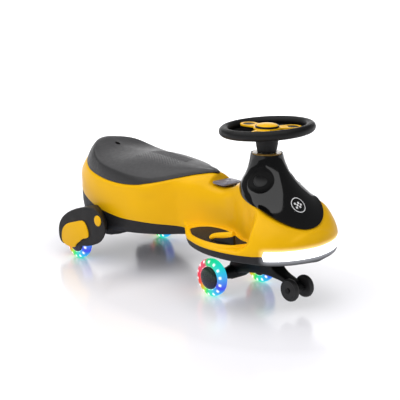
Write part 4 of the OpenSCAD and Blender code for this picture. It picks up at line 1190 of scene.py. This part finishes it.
def make_marks(cowl):
    centre = Vector((349, 0, 242))
    ahead = Vector((0.75, 0, 0.66)).normalized()
    up = Vector((-ahead.z, 0, ahead.x))

    def put(x, y, z):
        return centre + Vector((0, 1, 0)) * x + up * y + ahead * z

    rows = []
    for r in (17.0, 17.5, 18.0, 18.5, 19.0):
        rows.append([put(r * math.cos(t), r * math.sin(t), 0) for t in arc(0, 356.25, 95)])
    marks = [skin("roundel_ring", rows, wrap=True)]
    size = 5.0
    for i in range(4):
        for j in range(3):
            if (i + j) % 2 == 0:
                corner = ((i - 2) * size, (j - 1.5) * size)
                steps = [k * size / 4 for k in range(5)]
                grid = [[put(corner[0] + u, corner[1] + v, 0) for u in steps] for v in steps]
                marks.append(skin("roundel_check", grid))
    roundel = joined("cowl_roundel", *marks)
    on_surface(roundel, cowl, ahead, MARK_LIFT)
    facing(roundel, (1, 0, 0))
    fit(roundel, roundel_white, "chassis", "gloss_black")


# Rear fenders


def beside_rear(x, z, y):
    """Fender places are told from the rear axle on the floor, on the right side of the car."""
    return (REAR_X + x, -y, z)


def offset(outline, inset):
    line = []
    n = len(outline)
    for i, p in enumerate(outline):
        way = (outline[(i + 1) % n] - outline[i - 1]).normalized()
        line.append(p + Vector((way.y, -way.x)) * inset)
    return line


def make_fenders():
    outline = fair(FENDER_OUTLINE, 5, True)
    rows = []
    for y, inset in [(FENDER_IN, 0), (120, 0), (140, 0)] + [
        (FENDER_OUT - 9 + 9 * math.sin(a), 6 * (1 - math.cos(a))) for a in arc(0, 90, 6)
    ]:
        rows.append([beside_rear(p.x, p.y, y) for p in offset(outline, inset)])
    fender = skin("fender_right", rows, wrap=True, cap=True, turn=True)
    swung = copied(fender, "fender_tool")
    for v in swung.data.vertices:
        v.co.x -= FENDER_SLANT * (v.co.y + FENDER_OUT * MM)
    modified(fender, "BOOLEAN", operation="INTERSECT", object=swung, solver="EXACT")
    bpy.data.objects.remove(swung)
    room = [(0, 122), (50, 122), (50, 154), (0, 154)]
    cut(fender, spun("wheel_tool", room, 96, on_axle(REAR_X, 0, WHEEL_R, -1)))
    eased(fender, 0.8, 2, 50)
    fit_pair(fender, fender_black, "black_shell", "rear_fender", smooth=40)
    y = FENDER_OUT + 0.3
    line = fair(DISC_OUTLINE, 4, True)
    disc = eased(plate("fender_disc_right", line, y, FENDER_OUT + 4, beside_rear), 1.2, 3, 50)
    fit_pair(disc, yellow_trim, "yellow_shell", "rear_disc")
    button = spun(
        "fender_stud_right",
        [(0, y), (13, y), (13.5, y + 0.6), (13.3, y + 1.8), (12.2, y + 2.6), (10, y + 2.9), (0, y + 3)],
        64, on_axle(REAR_X + 108, 0, 123, -1),
    )
    fit_pair(button, yellow_trim, "yellow_shell", "fender_button")


# Wheels


def make_tyre(name, x, y, side):
    """The first row of the skin is at the front, and rows go round over the top."""
    w = WHEEL_W / 2
    half = [
        (CORE_R + 0.2, w - 3), (CORE_R + 3, w - 0.6), (CORE_R + 8, w), (WHEEL_R - 5, w - 1.2),
        (WHEEL_R - 1.3, w - 5), (WHEEL_R - 0.2, w - 9.5),
    ]
    section = fair(mirrored(half), 3)
    rows = []
    for a in [*full_turn(96), math.tau]:
        rows.append([(x + r * math.cos(a), y + side * h, WHEEL_R + r * math.sin(a)) for r, h in section])
    return skin(name, rows, wrap=True, turn=True)


def make_wheels():
    for end, x, y, dome in (("front", FRONT_X, FRONT_Y, 8.0), ("rear", REAR_X, REAR_Y, 4.6)):
        for word, side in (("left", 1), ("right", -1)):
            body = f"{end}_wheel_{word}"
            tyre = make_tyre(f"{end}_lit_tyre_{word}", x, side * y, side)
            fit(tyre, light_tyre, body, "light_tyre", f"{end}_tyre_{word}", smooth=60)
            h, r = CORE_W / 2 + 0.3, CORE_R - 0.5
            top = [(r * math.cos(a), h + 2 + dome * math.sin(a)) for a in arc(0, 90, 16)]
            section = [(0, h + 5.2), (8.5, h + 5.2), (8.5, h), (r - 0.6, h), (r, h + 0.6), *top]
            cap = spun(f"{end}_hub_dome_{word}", section, 64, on_axle(x, side * y, WHEEL_R, side))
            fit(cap, smoked_cap, body, "wheel_core", f"{end}_cap_{word}")
            keep(wheel_core, f"{end}_core_{word}")
    for word, side in (("left", 1), ("right", -1)):
        h, r = TIP_W / 2, TIP_R
        section = [
            (3.1, -h), (r - 6, -h), (r - 3.5, -h + 0.4), (r - 1.4, -h + 2), (r - 0.3, -h + 4.5), (r, 0),
            (r - 0.3, h - 4.5), (r - 1.4, h - 2), (r - 3.4, h - 0.5), (r - 5, h - 0.6), (r - 5.6, h - 1.1),
            (r - 6.4, h - 0.8), (12, h - 0.2), (5, h), (3.1, h),
        ]
        wheel = spun(f"tip_roller_{word}", section, 72, on_axle(TIP_X, side * TIP_Y, TIP_Z, side))
        fit(wheel, tip_tyre, f"tip_wheel_{word}", "tip_tyre", f"tip_wheel_{word}")
    keep(steel, "front_axle", "rear_axles")
    keep(arm_black, "tip_axle")


# Steering arm


ARM_TOP = [
    (-106, 49), (-104, 62), (-99, 76), (-85, 96), (-62, 108), (-38, 112), (0, 113), (24, 111), (34, 102),
    (44, 89), (62, 78.5), (86, 71), (102, 66), (112, 60), (116, 52),
]
ARM_FOOT = [
    (-106, 49), (-104, 41), (-99, 36), (-85, 41), (-62, 49), (-38, 55), (0, 61), (30, 63), (50, 62),
    (66, 60), (86, 54), (102, 43), (112, 44), (116, 52),
]
ARM_HALF = [(-106, 18), (-60, 21), (0, 21), (40, 20), (66, 16), (90, 15), (116, 15)]


def make_fork():
    rows = []
    for x in spread([-106, -105, -102, -96, -85, -62, -38, 0, 24, 34, 44, 62, 86, 102, 110, 114, 116], 4):
        top, foot, wide = along(ARM_TOP, x), along(ARM_FOOT, x), along(ARM_HALF, x)
        middle, rise = (top + foot) / 2, max(0, (top - foot) / 2)
        row = []
        for a in full_turn(40):
            u, v = (math.copysign(abs(c) ** 0.5, c) for c in (math.cos(a), math.sin(a)))
            row.append((STEER_X + x, wide * u, middle + rise * v))
        rows.append(row)
    arm = skin("arm", rows, wrap=True, turn=True)
    hub = spun("hub", [(11.3, 84), (25, 84), (25, 114), (23, 118), (11.3, 118)], 64, column())
    half = [(4.1, -64.5), (11, -64.5), (12.6, -63.5), (13, -61), (13, -40), (15, -26), (17, -20)]
    cross = spun("cross", mirrored(half), 48, on_axle(FRONT_X, 0, WHEEL_R, 1))
    whole = joined("steering_arm", arm, hub, cross)
    fit(whole, arm_black, "steering", "black_shell", "fork", smooth=45)


# Pieces inside the tub


def make_inside():
    box = softened("battery_box", "battery_tray", 0.8)
    fit(box, inner_plastic, "chassis", "inner_plastic", "battery_box")
    keep(cell_sleeve, "battery_cells")
    keep(steel, "tub_screws")


# Floor, light and camera


def make_stage():
    deselect()
    bpy.ops.mesh.primitive_plane_add(size=60)
    floor = named("floor")
    deselect()
    bpy.ops.mesh.primitive_cylinder_add(
        vertices=96, radius=28, depth=5, end_fill_type="NOTHING", location=(0, 0, 2.4)
    )
    backdrop = named("backdrop")
    open_mesh(backdrop)
    bpy.ops.mesh.flip_normals()
    close_mesh()
    f = Finish("floor_pale")
    f.set(Base_Color=(0.79, 0.78, 0.825, 1), Specular_IOR_Level=0.5, Emission_Color=(1.0, 1.0, 1.0, 1))
    f.rough(40, 3, 0.16, 0.2)
    x, y, _ = f.axes()
    # Painted light: the floor's emission for camera, glossy and transmission rays lifts it to white far away
    # and is weaker round the car, weakest round its rear half, which shapes where its shadow looks dark.
    past = f.maths("MAXIMUM", f.maths("SUBTRACT", f.maths("ABSOLUTE", x), 0.3), 0.0)
    away = f.maths("SQRT", f.maths("ADD", f.maths("MULTIPLY", past, past), f.maths("MULTIPLY", y, y)))
    near = f.between(away, 0.0, 0.25, 0.14, 0.34, True)
    near = f.maths("MAXIMUM", near, f.between(x, 0.0, 0.2, -0.12, 0.02, True))
    painted_glow = f.maths("ADD", near, f.between(away, 0.0, 0.5, 0.4, 1.9, True))
    path = f.node("LightPath")
    seen = path.outputs["Is Camera Ray"]
    for ray in ("Is Glossy Ray", "Is Transmission Ray"):
        seen = f.maths("MAXIMUM", seen, path.outputs[ray])
    f.feed("Emission Strength", f.maths("MULTIPLY", painted_glow, seen))
    dress(floor, f)
    dress(backdrop, f)
    world = bpy.data.worlds.new("studio")
    bpy.context.scene.world = world
    world.use_nodes = True
    sky = world.node_tree.nodes["Background"]
    sky.inputs["Color"].default_value = (0.97, 0.98, 1.0, 1)
    sky.inputs["Strength"].default_value = 0.16


def stood(name, data, place, way):
    """A lamp or camera at a place, looking along a direction."""
    thing = bpy.data.objects.new(name, data)
    bpy.context.scene.collection.objects.link(thing)
    thing.location = place
    thing.rotation_mode = "QUATERNION"
    thing.rotation_quaternion = way.to_track_quat("-Z", "Y")
    return thing


def softbox(name, place, aim, size, power, mirrored=True):
    """A lamp that isn't mirrored fills shadows without showing in glossy pieces."""
    light = bpy.data.lights.new(name, "AREA")
    light.shape = "RECTANGLE"
    light.size, light.size_y = size
    light.energy = power
    stood(name, light, place, Vector(aim) - Vector(place)).visible_glossy = mirrored


def make_light():
    softbox("overhead", (0.1, -1.7, 2.7), (0.1, -1.701, 0), (5.8, 5.2), 138)
    softbox("back", (-2.6, 2.2, 0.9), (0, 0, 0.3), (3.2, 1.6), 24)
    softbox("side", (0.2, -2.9, 1.4), (0, 0, 0.2), (2.4, 1.6), 26, False)
    softbox("front", (2.4, 2.1, 1.7), (0.2, 0, 0.25), (1.6, 1.4), 16, False)


def make_camera():
    azimuth, rise, distance = math.radians(48.9), math.radians(14.8), 3.118
    back = Vector(
        (math.sin(azimuth) * math.cos(rise), -math.cos(azimuth) * math.cos(rise), math.sin(rise))
    )
    lens = bpy.data.cameras.new("camera")
    lens.lens, lens.sensor_width = 108, 36
    aim = Vector((-0.1359, 0.1374, 0.135))
    bpy.context.scene.camera = stood("camera", lens, aim + back * distance, -back)


body_piece = make_body()
make_tub()
make_seat()
cowl_piece = make_cowl()
make_cowl_caps(cowl_piece)
make_column()
make_steering_wheel()
make_foot_deck(body_piece)
make_foot_stops()
make_music_pad()
make_headlight()
make_marks(cowl_piece)
make_fenders()
make_wheels()
make_fork()
make_inside()
make_stage()
make_light()
make_camera()
bpy.context.scene.view_settings.view_transform = "Standard"
